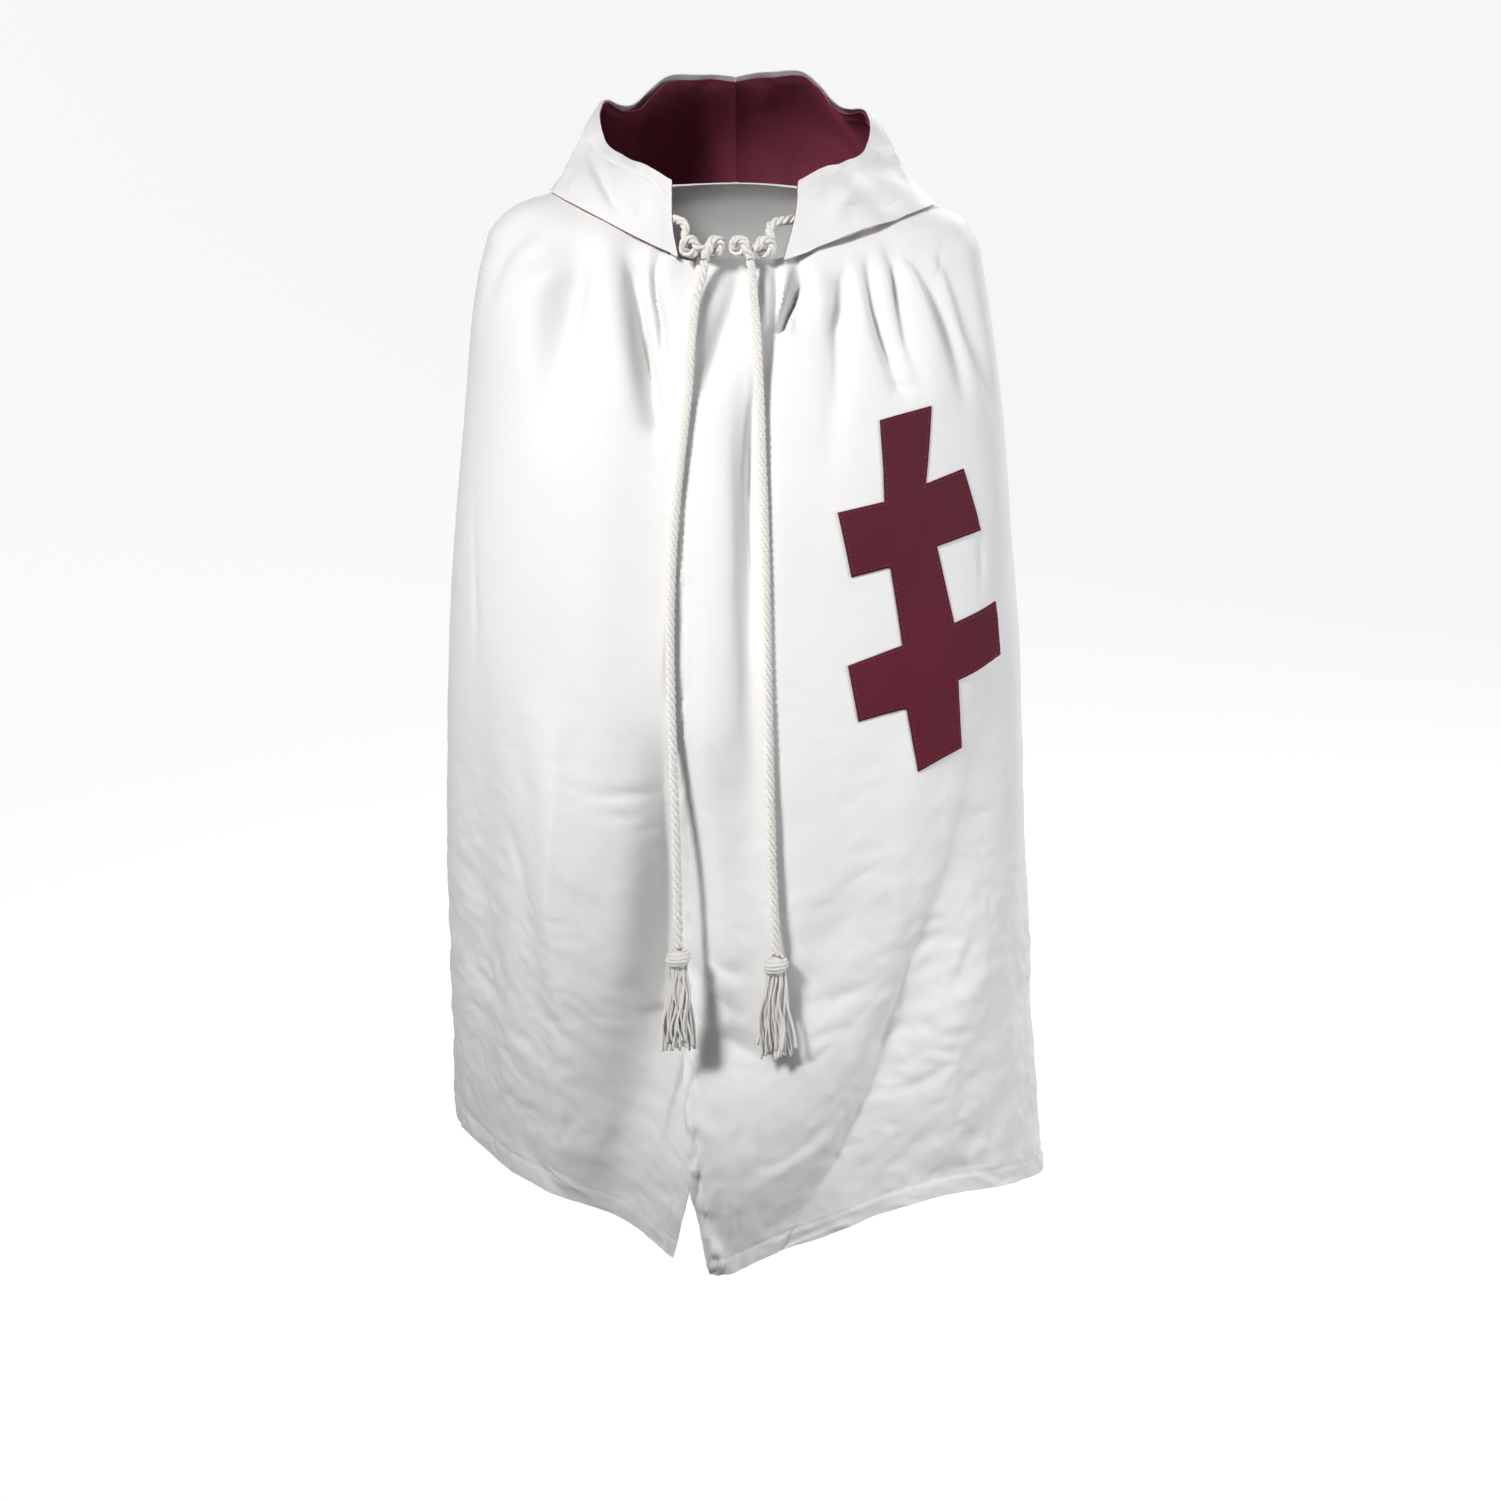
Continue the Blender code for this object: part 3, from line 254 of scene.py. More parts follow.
# Rumples: noise over cells of the cloth that lean up towards its sides, fading in down the fall; creased
# ones have ridges where the noise changes sign
Rumple = namedtuple("Rumple", "across down lean height first full creased seed")
RUMPLES = [
    Rumple(0.120, 0.260, 0.0, 0.0026, 0.06, 0.30, False, 3),
    Rumple(0.050, 0.110, 0.0, 0.0010, 0.10, 0.50, False, 7),
    Rumple(0.062, 0.040, 0.25, 0.0024, 0.48, 0.85, False, 11),
    Rumple(0.028, 0.019, 0.16, 0.0022, 0.50, 0.90, True, 19),
    Rumple(0.017, 0.013, 0.0, 0.0008, 0.20, 0.80, False, 23),
]
NOISE_KNOTS = 64
RUMPLE_WARP = 0.80
LEAN_TURN = 0.05
CREASE_MIDDLE = 0.5
BACK_SEAM_CALM = 0.020
UNDER_HOOD_FALL = 0.30

# Turned hems, free edges and seams
EDGE_BAND = 0.014
BAND_LIFT = 0.0004
BAND_STEP = 0.0025
STITCH_GROOVE = 0.0006
GROOVE_WIDTH = 0.0022
PUCKER_HEIGHT = 0.0014
PUCKER_ACROSS = 0.014
PUCKER_LEAN = 0.9
PUCKER_MIDDLE = 0.7
PUCKER_REACH = 0.6
PUCKER_SEED = 5
EDGE_LUMP_HEIGHT = 0.0095
EDGE_LUMP_PITCH = 0.017
EDGE_LUMP_START = 0.775
EDGE_LUMP_REACH = 0.014
EDGE_LUMP_FADE = 0.03
EDGE_LUMP_FINER = 2.3
EDGE_LUMP_SEEDS = (13, 17)
SEAM_DIP = 0.0010
SEAM_WIDTH = 0.0030

# Fine grids
FRONT_COLUMNS = 146
FRONT_EDGE_COLUMNS = 12
FRONT_EDGE_SHARE = 0.04
BACK_COLUMNS = 72
PANEL_ROWS = 226
HEM_ROWS = 18
HEM_ROWS_FALL = 0.972
NECK_RISE = 0.008
NECK_RISE_ANGLE = 17.0
NECK_RISE_FALL = 0.030
Panel = namedtuple("Panel", "name side edge")
PANELS = [
    Panel("front_left", 1, "over"),
    Panel("front_right", -1, "under"),
    Panel("back_left", 1, None),
    Panel("back_right", -1, None),
]
CROSS_PANEL = PANELS[0]

# Flat cuts of what shows, in metres and square metres
Cut = namedtuple("Cut", "width length area held rests_on")
SHARP_EDGE = math.radians(65)

# Hood: its front corner on the neck seam, its mouth, and how its back hangs in a pouch
HOOD_CORNER_LEFT = 20.5
HOOD_CORNER_RIGHT = 23.5
HOOD_OVERLAP = 0.003
HOOD_FOOT_GAP = 0.0015
HOOD_BULGE = 0.007
MouthPoint = namedtuple("MouthPoint", "angle out right_height left_height")
HOOD_MOUTH = [
    MouthPoint(31, 0.118, 0.036, 0.034),
    MouthPoint(45, 0.113, 0.046, 0.044),
    MouthPoint(72, 0.112, 0.056, 0.050),
    MouthPoint(90, 0.126, 0.071, 0.062),
    MouthPoint(105, 0.138, 0.100, 0.086),
    MouthPoint(118, 0.146, 0.112, 0.102),
    MouthPoint(135, 0.148, 0.108, 0.108),
    MouthPoint(151, 0.146, 0.136, 0.140),
    MouthPoint(165, 0.142, 0.138, 0.141),
    MouthPoint(180, 0.138, 0.136, 0.136),
]
PouchPoint = namedtuple("PouchPoint", "step out drop")
HOOD_POUCH = [
    PouchPoint(0.00, 0.000, 0.000),
    PouchPoint(0.12, 0.036, 0.066),
    PouchPoint(0.28, 0.054, 0.161),
    PouchPoint(0.40, 0.069, 0.219),
    PouchPoint(0.50, 0.092, 0.238),
    PouchPoint(0.60, 0.110, 0.206),
    PouchPoint(0.74, 0.108, 0.130),
    PouchPoint(0.88, 0.070, 0.052),
    PouchPoint(1.00, 0.000, 0.000),
]
POUCH_START = 116.0
POUCH_FULL = 160.0
POUCH_HALF_WIDTH = 0.186
POUCH_BACK = 0.246
POUCH_SIDE_SLOPE = 0.47
LEAST_SIDEWAYS = 0.01
PUFF_START = 90.0
POUCH_REST = 0.0074
POUCH_DEPTH = 0.014
POUCH_DEEPENS = (0.30, 0.65)
POUCH_DEEP_FALL = 0.03
HOOD_GIRTH = 0.17
HOOD_RISE = 0.10
HOOD_COLUMNS = 92
HOOD_ROWS = 104
HOOD_MOUTH_ROWS = 12
HOOD_MOUTH_STEP = 0.93
HOOD_BAND = 0.013
LINING_GAP = 0.0010
LINING_WALL = 0.0007
LINING_SHORT = 1
LINING_SEAM = 0.0004
LINING_SOFTENING = 8
LINING_FOOT_RISE = 0.0025
LINING_FOOT_ROWS = 14
HoodFold = namedtuple("HoodFold", "side fold")
HOOD_FOLDS = [
    HoodFold(-1, Fold([(88, 0.86), (65, 0.62), (51, 0.34), (47, 0.12)],
                      0.007, 0.010, -0.006, 0.3, 0.5, 0.1)),
    HoodFold(-1, Fold([(84, 0.56), (79, 0.33), (74, 0.10)], 0.008, 0.008, -0.004, 0.2, 0.5, 0.2)),
    HoodFold(-1, Fold([(23, 1.0), (24, 0.6), (24, 0.2)], 0.014, 0.014, -0.006, 0.6, 0.4, 0.3)),
    HoodFold(-1, Fold([(34, 0.72), (38, 0.45), (36, 0.18)], 0.008, 0.010, -0.003, 0.1, 0.5, 0.2)),
    HoodFold(1, Fold([(64, 0.86), (50, 0.62), (42, 0.43), (44, 0.10)], 0.020, 0.018, 0.011, 0.2, 0.5, 0.2)),
    HoodFold(1, Fold([(74, 0.60), (61, 0.29), (64, 0.10), (67, 0.04)], 0.014, 0.018, -0.008, 0.2, 0.5, 0.2)),
    HoodFold(1, Fold([(92, 0.90), (82, 0.55), (80, 0.20)], 0.016, 0.016, -0.0035, 0.2, 0.5, 0.1)),
    HoodFold(-1, Fold([(124, 0.74), (140, 0.68), (160, 0.64), (180, 0.64)],
                      0.014, 0.018, -0.009, 0.1, 0.6, 0.6)),
    HoodFold(-1, Fold([(118, 0.86), (136, 0.80), (152, 0.79)], 0.012, 0.015, -0.007, 0.1, 0.5, 0.0)),
    HoodFold(1, Fold([(122, 0.70), (142, 0.66), (162, 0.64), (180, 0.64)],
                     0.016, 0.015, -0.009, 0.1, 0.6, 0.6)),
    HoodFold(1, Fold([(120, 0.88), (133, 0.84), (155, 0.83)], 0.011, 0.015, -0.007, 0.1, 0.5, 0.0)),
]
LINING_FOLDS = [
    HoodFold(-1, Fold([(92, 0.97), (100, 0.80), (104, 0.55)], 0.020, 0.014, 0.006, 0.2, 0.5, 0.0)),
    HoodFold(-1, Fold([(128, 0.98), (138, 0.80), (141, 0.58)], 0.024, 0.014, 0.009, 0.3, 0.5, 0.0)),
    HoodFold(-1, Fold([(158, 0.97), (154, 0.82), (156, 0.62)], 0.016, 0.022, 0.006, 0.2, 0.5, 0.0)),
    HoodFold(1, Fold([(98, 0.97), (108, 0.80), (110, 0.58)], 0.022, 0.014, 0.008, 0.3, 0.5, 0.0)),
    HoodFold(1, Fold([(136, 0.98), (131, 0.80), (134, 0.60)], 0.014, 0.024, 0.008, 0.2, 0.5, 0.0)),
    HoodFold(1, Fold([(163, 0.96), (166, 0.80), (160, 0.62)], 0.020, 0.014, 0.005, 0.2, 0.5, 0.0)),
]
HOOD_RUMPLES = [
    Rumple(0.070, 0.050, 0.0, 0.0010, 0.0, 0.01, False, 31),
    Rumple(0.026, 0.022, 0.30, 0.0006, 0.0, 0.01, True, 37),
]
HOOD_FOOT_CALM = 0.16

# Cross: the places of its corners on the left front, row by row from its top
CrossLine = namedtuple("CrossLine", "left shaft_left shaft_right right")
CROSS_LINES = [
    CrossLine(None, (37.5, 0.174), (51.0, 0.175), None),
    CrossLine((25.5, 0.251), (36.8, 0.254), (47.5, 0.249), (58.5, 0.244)),
    CrossLine((28.2, 0.319), (37.5, 0.321), (49.5, 0.314), (62.8, 0.309)),
    CrossLine((26.8, 0.406), (39.8, 0.403), (53.0, 0.395), (67.0, 0.384)),
    CrossLine((29.0, 0.466), (40.5, 0.469), (53.8, 0.454), (69.8, 0.440)),
    CrossLine(None, (42.8, 0.537), (55.0, 0.525), None),
]
CROSS_WALL = 0.0010
CROSS_LIFT = 0.0013
CROSS_CELLS = 20
CROSS_INSET = 0.0028
CROSS_WELD = 0.00005

# Rope tie: loops at the neck, hanging ropes and tassels
TIE_CENTRE = -0.006
TIE_FRONT = -0.1375
TIE_START = 0.0085
Loop = namedtuple("Loop", "aside height radius first last layer")
TIE_LOOPS = [
    Loop(0.0352, -0.0266, 0.0066, 60, 530, 0.0092),
    Loop(0.0109, -0.0258, 0.0062, -40, -375, 0.0086),
]
TieSeat = namedtuple("TieSeat", "side gap")
TIE_SEATS = [TieSeat(1, 0.0008), TieSeat(-1, 0.0045)]
TIE_SEAT_STEP = 0.53
TIE_SEAT_ANGLE = 2.0
SEAT_PATCH = (1.0, 0.05)
SEAT_LINING = 0.0010
SEAT_ROPE = 0.0045
TIE_LEAD = (0.0395, 0.0125, -0.009)
TIE_END = [(0.0205, -0.0113, -0.0340), (0.0212, -0.0116, -0.0378)]
LOOP_STEP_DEGREES = 32
ROPE_RIGHT_ROUTE = [
    (-0.0272, -0.1491, -0.0394), (-0.0295, -0.1530, -0.0530), (-0.0338, -0.1595, -0.0680),
    (-0.0370, -0.1670, -0.0855), (-0.0390, -0.1750, -0.1060), (-0.0407, -0.1845, -0.1300),
    (-0.0426, -0.1945, -0.1600), (-0.0461, -0.2025, -0.1910), (-0.0498, -0.2085, -0.2230),
    (-0.0535, -0.2140, -0.2590), (-0.0564, -0.2180, -0.2960), (-0.0584, -0.2215, -0.3370),
    (-0.0594, -0.2253, -0.3830), (-0.0588, -0.2289, -0.4300), (-0.0578, -0.2314, -0.4720),
    (-0.0564, -0.2336, -0.5150), (-0.0550, -0.2360, -0.5580), (-0.0540, -0.2395, -0.6010),
    (-0.0532, -0.2440, -0.6390), (-0.0528, -0.2480, -0.6730),
]
ROPE_LEFT_ROUTE = [
    (0.0152, -0.1491, -0.0394), (0.0164, -0.1530, -0.0530), (0.0177, -0.1595, -0.0680),
    (0.0194, -0.1670, -0.0855), (0.0212, -0.1750, -0.1060), (0.0223, -0.1845, -0.1300),
    (0.0238, -0.1940, -0.1600), (0.0249, -0.2020, -0.1910), (0.0259, -0.2075, -0.2230),
    (0.0275, -0.2130, -0.2590), (0.0286, -0.2175, -0.2960), (0.0295, -0.2226, -0.3370),
    (0.0305, -0.2266, -0.3830), (0.0315, -0.2301, -0.4300), (0.0324, -0.2328, -0.4720),
    (0.0334, -0.2353, -0.5150), (0.0345, -0.2380, -0.5580), (0.0358, -0.2415, -0.6010),
    (0.0374, -0.2460, -0.6390), (0.0388, -0.2510, -0.6790),
]
Side = namedtuple("Side", "name sign route")
SIDES = [Side("left", 1, ROPE_LEFT_ROUTE), Side("right", -1, ROPE_RIGHT_ROUTE)]
STRANDS = 3
STRAND_SHARE = 0.466
STRAND_SIDES = 9
ROPE_RING_STEP = 0.0016
Cord = namedtuple("Cord", "yarns pitch")
LAID_CORD = Cord(2.0, 0.0042)
TASSEL_YARN = Cord(1.0, 0.0016)

# Tassels: a wound head and a skirt of thin cords
HEAD_WIDTH = 0.0245
HEAD_HEIGHT = 0.0190
HEAD_GAP = 0.0003
HEAD_CORE = 0.80
HEAD_TURNS = 5
HEAD_WINDING = 0.0021
HEAD_WOUND = (0.42, -0.46)
HEAD_HALF = 0.5
HEAD_LEAST = 0.03
HEAD_TURN_POINTS = 28
HEAD_SIDES = 8
HEAD_TILT = 0.16
CORE_SEGMENTS = (20, 12)
CORE_DIGITS = 5
SKIRT = 0.090
SKIRT_ROOT = 0.0085
SKIRT_TIP = 0.0175
SKIRT_FLATNESS = 0.50
SKIRT_LEAN = 0.005
SKIRT_CORD = 0.00120
SKIRT_POINTS = 30
SKIRT_SIDES = 6
SKIRT_TURN = 0.618
SKIRT_FLARE = (0.55, 1.20)
SKIRT_CURVE = 1.3
SKIRT_SWAY = 0.0034
SKIRT_SWAY_SHARE = (0.3, 1.0)
SKIRT_SWAY_START = 0.35
SKIRT_PACE = (4.0, 11.0)
SKIRT_PACE_DEPTH = 0.8
SKIRT_UNEVENNESS = 0.16
SKIRT_FRAY = 0.30
SKIRT_FRAY_START = 0.88
SKIRT_CORD_SHARE = (0.8, 1.2)
SKIRT_FACING = (0, -0.01, 0)
TASSEL_SEED = 41
TASSEL_SEED_PLACES = 1000

# Stitches
STITCH_LENGTH = 0.0032
STITCH_PITCH = 0.0052
STITCH_THREAD = 0.00040
STITCH_SIDES = 5
STITCH_LINE_POINTS = 420
CROSS_STITCH_POINTS = 42
EDGE_STITCH_FALLS = (0.04, 0.985)
StitchRing = namedtuple("StitchRing", "along lift width")
STITCH_RINGS = [
    StitchRing(-0.50, -0.9, 0.55),
    StitchRing(-0.30, 0.3, 1.0),
    StitchRing(0.0, 0.6, 1.0),
    StitchRing(0.30, 0.3, 1.0),
    StitchRing(0.50, -0.9, 0.55),
]
THREAD_TWIST = 0.0009

# Camera, floor and lights
PHOTO_WIDTH = 36.0
LENS = 67.491
CAMERA_PLACE = (0.0152, -2.8, 0.05)
CAMERA_TILT = 11.788
FLOOR_HEIGHT = -1.45
FLOOR_RADIUS = 4.0
FLOOR_RINGS = 8
FLOOR_CENTRE = 0.01
SWEEP_RADIUS = 1.6
SWEEP_RINGS = 16
WALL_HEIGHT = 4.5
WALL_SIDES = 96
PAPER_SHARE = 0.35
Lamp = namedtuple("Lamp", "name place target size colour")
LAMPS = [
    Lamp("key", (-2.10, -3.25, 2.20), (0.0, -0.15, -0.30), 1.0, (1.0, 0.99, 0.97)),
    Lamp("side", (2.70, -0.75, -0.30), (0.20, -0.1, -0.35), 1.0, (0.97, 0.98, 1.0)),
    Lamp("back", (1.60, 3.20, 1.50), (0.0, 0.1, -0.40), 0.9, (1.0, 0.99, 0.98)),
]
FILL_COLOUR = (0.93, 0.92, 1.0, 1.0)

# Finishes: grains and clouds a metre each way, the clouds' share of the tone, darkest and lightest level,
# roughness and what the grain adds to it, heights of the pattern and the grain, and strength and depth of
# the bumps
Look = namedtuple("Look", "grain clouds cloudy dark light rough rougher pattern raised bump depth")
COTTON_LOOK = Look((60, 900, 1), (9, 6, 1), 0.4, 0.93, 1.04, 0.60, 0.20, 0.35, 1.3, 0.35, 0.0003)
SATIN_LOOK = Look((300, 25, 1), (14, 10, 1), 0.5, 0.62, 1.40, 0.36, 0.16, 0.2, 0.7, 0.30, 0.0003)
APPLIQUE_LOOK = Look((50, 700, 1), (16, 12, 1), 0.5, 0.70, 1.25, 0.72, 0.14, 0.4, 1.3, 0.45, 0.0003)
CORD_LOOK = Look((1500, 6, 1), None, 0.0, 0.80, 1.06, 0.5, 0.2, 0.5, 0.6, 0.6, 0.0004)
CLOUD_DETAIL = 3.0
SATIN_SLANT = 0.6
SATIN_TINT = 4.0
# How far the yarn wave darkens the cord's hollows and lightens its crests: painted shade and painted
# highlight
YARN_PAINTED_SHADE = 0.25
FIBRE_TONE = 0.6
# Darker and lighter levels of the thread's colour along its twist: painted shade and painted highlight
THREAD_TWIST_PAINTED_SHADES = (0.8, 1.2)
PAPER_CLOUDS = (0.7, 0.7, 0.7)
PAPER_CLOUD_LEVEL = 0.98
WHITE = (1.0, 1.0, 1.0)


def column(rows, name):
    return np.array([getattr(row, name) for row in rows], float)


def from_table(rows, key, name, at):
    """Value of a table's column on a smooth curve through its rows."""
    return flowing(column(rows, key), column(rows, name), at)


def ease(share):
    """Smooth step from 0 to 1."""
    share = np.clip(share, 0.0, 1.0)
    return share * share * (3.0 - 2.0 * share)


def bell(distance, width):
    return np.exp(-(distance / width) ** 2)


def flowing(keys, values, at):
    """Smooth curve through the values given at the keys."""
    keys = np.asarray(keys, float)
    values = np.asarray(values, float)
    slopes = np.gradient(values, keys)
    at = np.clip(at, keys[0], keys[-1])
    cell = np.clip(np.searchsorted(keys, at, side="right") - 1, 0, len(keys) - 2)
    step = keys[cell + 1] - keys[cell]
    s = (at - keys[cell]) / step
    start = (1 + 2 * s) * (1 - s) ** 2 * values[cell] + s * (1 - s) ** 2 * step * slopes[cell]
    end = s * s * (3 - 2 * s) * values[cell + 1] + s * s * (s - 1) * step * slopes[cell + 1]
    return start + end


def unit(vectors):
    return vectors / np.linalg.norm(vectors, axis=-1, keepdims=True)


def noise(spots, seed):
    """Smooth noise from -1 to 1 over flat spots, with a knot at each whole number."""
    knots = np.random.default_rng(seed).uniform(-1.0, 1.0, (NOISE_KNOTS, NOISE_KNOTS))
    low = np.floor(spots).astype(int)
    across, down = np.moveaxis(ease(spots - low), -1, 0)
    left, top = np.moveaxis(low % NOISE_KNOTS, -1, 0)
    right = (left + 1) % NOISE_KNOTS
    foot = (top + 1) % NOISE_KNOTS
    upper = knots[top, left] * (1 - across) + knots[top, right] * across
    lower = knots[foot, left] * (1 - across) + knots[foot, right] * across
    return upper * (1 - down) + lower * down


def run_lengths(points, axis=0):
    """Distance along a path, or along many side by side, from the start to each point."""
    steps = np.linalg.norm(np.diff(points, axis=axis), axis=-1)
    start = np.zeros_like(np.take(steps, [0], axis))
    return np.concatenate([start, np.cumsum(steps, axis=axis)], axis=axis)


def section_value(name, fall):
    return from_table(SECTIONS, "fall", name, fall)


def edge_angle(name, fall):
    return from_table(EDGES, "fall", name, fall)


def seam_height(angle):
    """Height of the neck seam: low in front, higher at the shoulders and the nape."""
    turn = np.radians(angle)
    middle = 0.5 * (SEAM_RIGHT_HEIGHT + SEAM_LEFT_HEIGHT)
    side = middle + 0.5 * (SEAM_LEFT_HEIGHT - SEAM_RIGHT_HEIGHT) * np.sin(turn)
    end = np.where(np.cos(turn) > 0, SEAM_FRONT_HEIGHT, SEAM_BACK_HEIGHT)
    return side + (end - side) * np.cos(turn) ** 2


def hem_height(angle):
    return from_table(HEM, "angle", "height", angle)


def ring_reach(angle, fall):
    """Distance from the neck's axis out to the cloth."""
    turn = np.radians(angle)
    wide = np.where(angle < 0, section_value("right", fall), section_value("left", fall))
    deep = np.where(np.cos(turn) > 0, section_value("front", fall), section_value("back", fall))
    fullness = section_value("fullness", fall)
    spread = np.abs(np.sin(turn) / wide) ** fullness + np.abs(np.cos(turn) / deep) ** fullness
    return spread ** (-1.0 / fullness)


def drape(angle, fall):
    """Point on the mantle before it is folded."""
    angle, fall = np.broadcast_arrays(np.asarray(angle, float), np.asarray(fall, float))
    turn = np.radians(angle)
    reach = ring_reach(angle, fall)
    top = seam_height(angle)
    height = top + (hem_height(angle) - top) * fall
    return np.stack([reach * np.sin(turn), -reach * np.cos(turn), height], -1)


def outward_at(surface, angle, fall, step):
    """Outward direction of a surface, from its points a little to each side."""
    around = surface(angle + NORMAL_TURN, fall) - surface(angle - NORMAL_TURN, fall)
    low = np.clip(fall + step, 0, 1)
    high = np.clip(fall - step, 0, 1)
    down = surface(angle, low) - surface(angle, high)
    return unit(np.cross(down, around))


def drape_normal(angle, fall):
    return outward_at(drape, angle, fall, NORMAL_FALL)


def girth(fall):
    """Mean radius of the mantle, which turns angles into distances."""
    half_width = 0.5 * (section_value("right", fall) + section_value("left", fall))
    return 0.5 * (section_value("front", fall) + half_width)


def cloth_map(angle, fall):
    """The cloth laid flat, nearly to scale: distance round the wearer and distance from the neck seam."""
    return np.stack([np.radians(angle) * girth(fall), fall * CLOTH_LENGTH], -1)


def hood_map(angle, step):
    return np.stack([np.radians(angle) * HOOD_GIRTH, step * HOOD_RISE], -1)


def fold_path(fold, to_flat):
    """The fold's path on the flat cloth, as a smooth run of points."""
    stops = np.array(fold.path, float)
    keys = np.arange(len(stops))
    at = np.linspace(0, len(stops) - 1, FOLD_PATH_STEPS * (len(stops) - 1) + 1)
    return to_flat(flowing(keys, stops[:, 0], at), flowing(keys, stops[:, 1], at))


def fold_strength(fold, along):
    """How strong the fold is at a share of its path."""
    rise = fold.start + (1 - fold.start) * ease(along / fold.peak)
    drop = fold.end + (1 - fold.end) * ease((1 - along) / (1 - fold.peak))
    return np.where(along < fold.peak, rise, drop)


def fold_shape(fold, flat, to_flat=cloth_map, tuck=False):
    """Height of one fold over the flat cloth, worked out only near its path."""
    path = fold_path(fold, to_flat)
    reach = FOLD_REACH * max(fold.before, fold.after)
    near = np.all((flat > path.min(0) - reach) & (flat < path.max(0) + reach), axis=-1)
    spots = flat[near]
    nearest = np.full(len(spots), np.inf)
    side = np.zeros(len(spots))
    along = np.zeros(len(spots))
    for index in range(len(path) - 1):
        run = path[index + 1] - path[index]
        offset = spots - path[index]
        share = np.clip((offset @ run) / (run @ run), 0, 1)
        apart = offset - share[:, None] * run
        distance = np.hypot(apart[:, 0], apart[:, 1])
        closer = distance < nearest
        turned = run[0] * offset[:, 1] - run[1] * offset[:, 0]
        nearest = np.where(closer, distance, nearest)
        side = np.where(closer, turned, side)
        along = np.where(closer, (index + share) / (len(path) - 1), along)
    profile = bell(nearest, np.where(side > 0, fold.before, fold.after))
    if tuck:
        steep = np.clip(1 - nearest / (FOLD_REACH * fold.before), 0, 1) ** TUCK_STEEPNESS
        profile = np.where(side > 0, steep, profile)
    height = np.zeros(flat.shape[:-1])
    height[near] = fold.depth * fold_strength(fold, along) * profile
    return height


def rumple(layer, flat, fall):
    """Height of one layer of rumples, smooth or creased."""
    across, down = np.moveaxis(flat, -1, 0)
    lean = layer.lean * np.tanh(across / LEAN_TURN)
    spots = np.stack([(across - lean * down) / layer.across, (down + lean * across) / layer.down], -1)
    aside = np.stack([noise(spots, layer.seed + 1), noise(spots, layer.seed + 2)], -1)
    value = noise(spots + RUMPLE_WARP * aside, layer.seed)
    if layer.creased:
        value = CREASE_MIDDLE - np.abs(value)
    return layer.height * value * ease((fall - layer.first) / (layer.full - layer.first))


def relief(angle, fall):
    """Height of folds, creases and rumples, held by the neck seam and clear of the hood and its pouch."""
    flat = cloth_map(angle, fall)
    main = sum(fold_shape(fold, flat) for fold in FOLDS)
    main = np.where(main > 0, main * ease(fall / RIDGE_CLEAR_FALL), main)
    fine = sum(fold_shape(fold, flat) for fold in CREASES)
    fine = fine + sum(fold_shape(fold, flat, tuck=True) for fold in TUCKS)
    from_back_seam = np.radians(180 - np.abs(angle)) * girth(fall)
    calm = 1 - bell(from_back_seam, BACK_SEAM_CALM)
    fine = fine + calm * sum(rumple(layer, flat, fall) for layer in RUMPLES)
    clear = np.where(np.abs(angle) > PUFF_START, UNDER_HOOD_FALL, RIDGE_CLEAR_FALL)
    fine = np.where(fine > 0, fine * ease(fall / clear), fine)
    total = main + fine
    hold_fall = SEAM_HOLD_FALL * (1 - FRONT_RELEASE * bell(angle, FRONT_RELEASE_ANGLE))
    held = SEAM_HOLD + (1 - SEAM_HOLD) * ease(fall / hold_fall)
    return np.where(total < 0, total * held, total)


def band_relief(inward, along, width):
    """A turned and stitched band along an edge: raised, grooved at its stitches and a little puckered."""
    raised = BAND_LIFT * ease((width - inward) / BAND_STEP)
    groove = STITCH_GROOVE * bell(inward - width, GROOVE_WIDTH)
    spots = np.stack([(along + PUCKER_LEAN * inward) / PUCKER_ACROSS, inward / width], -1)
    pucker = PUCKER_HEIGHT * noise(spots, PUCKER_SEED)
    return raised - groove + pucker * bell(inward - PUCKER_MIDDLE * width, PUCKER_REACH * width)


def free_edge_lumps(inward, fall):
    """Slanting lumps where the free edge is drawn up near the hem."""
    along = fall * CLOTH_LENGTH
    spots = np.stack([(along + PUCKER_LEAN * inward) / EDGE_LUMP_PITCH, inward / EDGE_LUMP_REACH], -1)
    fade = ease((fall - EDGE_LUMP_START) / EDGE_LUMP_FADE) * bell(inward - 0.5 * EDGE_BAND, EDGE_LUMP_REACH)
    large, fine = EDGE_LUMP_SEEDS
    return EDGE_LUMP_HEIGHT * (noise(spots, large) + 0.5 * noise(EDGE_LUMP_FINER * spots, fine)) * fade


def panel_points(panel, angle, fall):
    """Points on the outer face of one panel."""
    angle, fall = np.broadcast_arrays(np.asarray(angle, float), np.asarray(fall, float))
    hem = bpy.context.scene.mantle_cloth.hem
    length = seam_height(angle) - hem_height(angle)
    around, down = np.moveaxis(cloth_map(angle, fall), -1, 0)
    lift = relief(angle, fall) + band_relief((1 - fall) * length, around, hem)
    from_seam = np.radians(edge_angle("side", fall) - np.abs(angle)) * girth(fall)
    lift = lift - SEAM_DIP * bell(from_seam, SEAM_WIDTH)
    if panel.edge:
        inward = panel.side * np.radians(angle - edge_angle(panel.edge, fall)) * girth(fall)
        lift = lift + band_relief(inward, down, EDGE_BAND) * ease(fall / RIDGE_CLEAR_FALL)
    if panel.edge == "over":
        lift = lift + free_edge_lumps(inward, fall)
    if panel.edge == "under":
        lift = lift - UNDERLAP_DEPTH * ease((angle - UNDERLAP_START) / (UNDERLAP_FULL - UNDERLAP_START))
    return drape(angle, fall) + lift[..., None] * drape_normal(angle, np.maximum(fall, 0))


def panel_normals(panel, angle, fall):
    return outward_at(partial(panel_points, panel), angle, fall, NORMAL_FALL / 2)


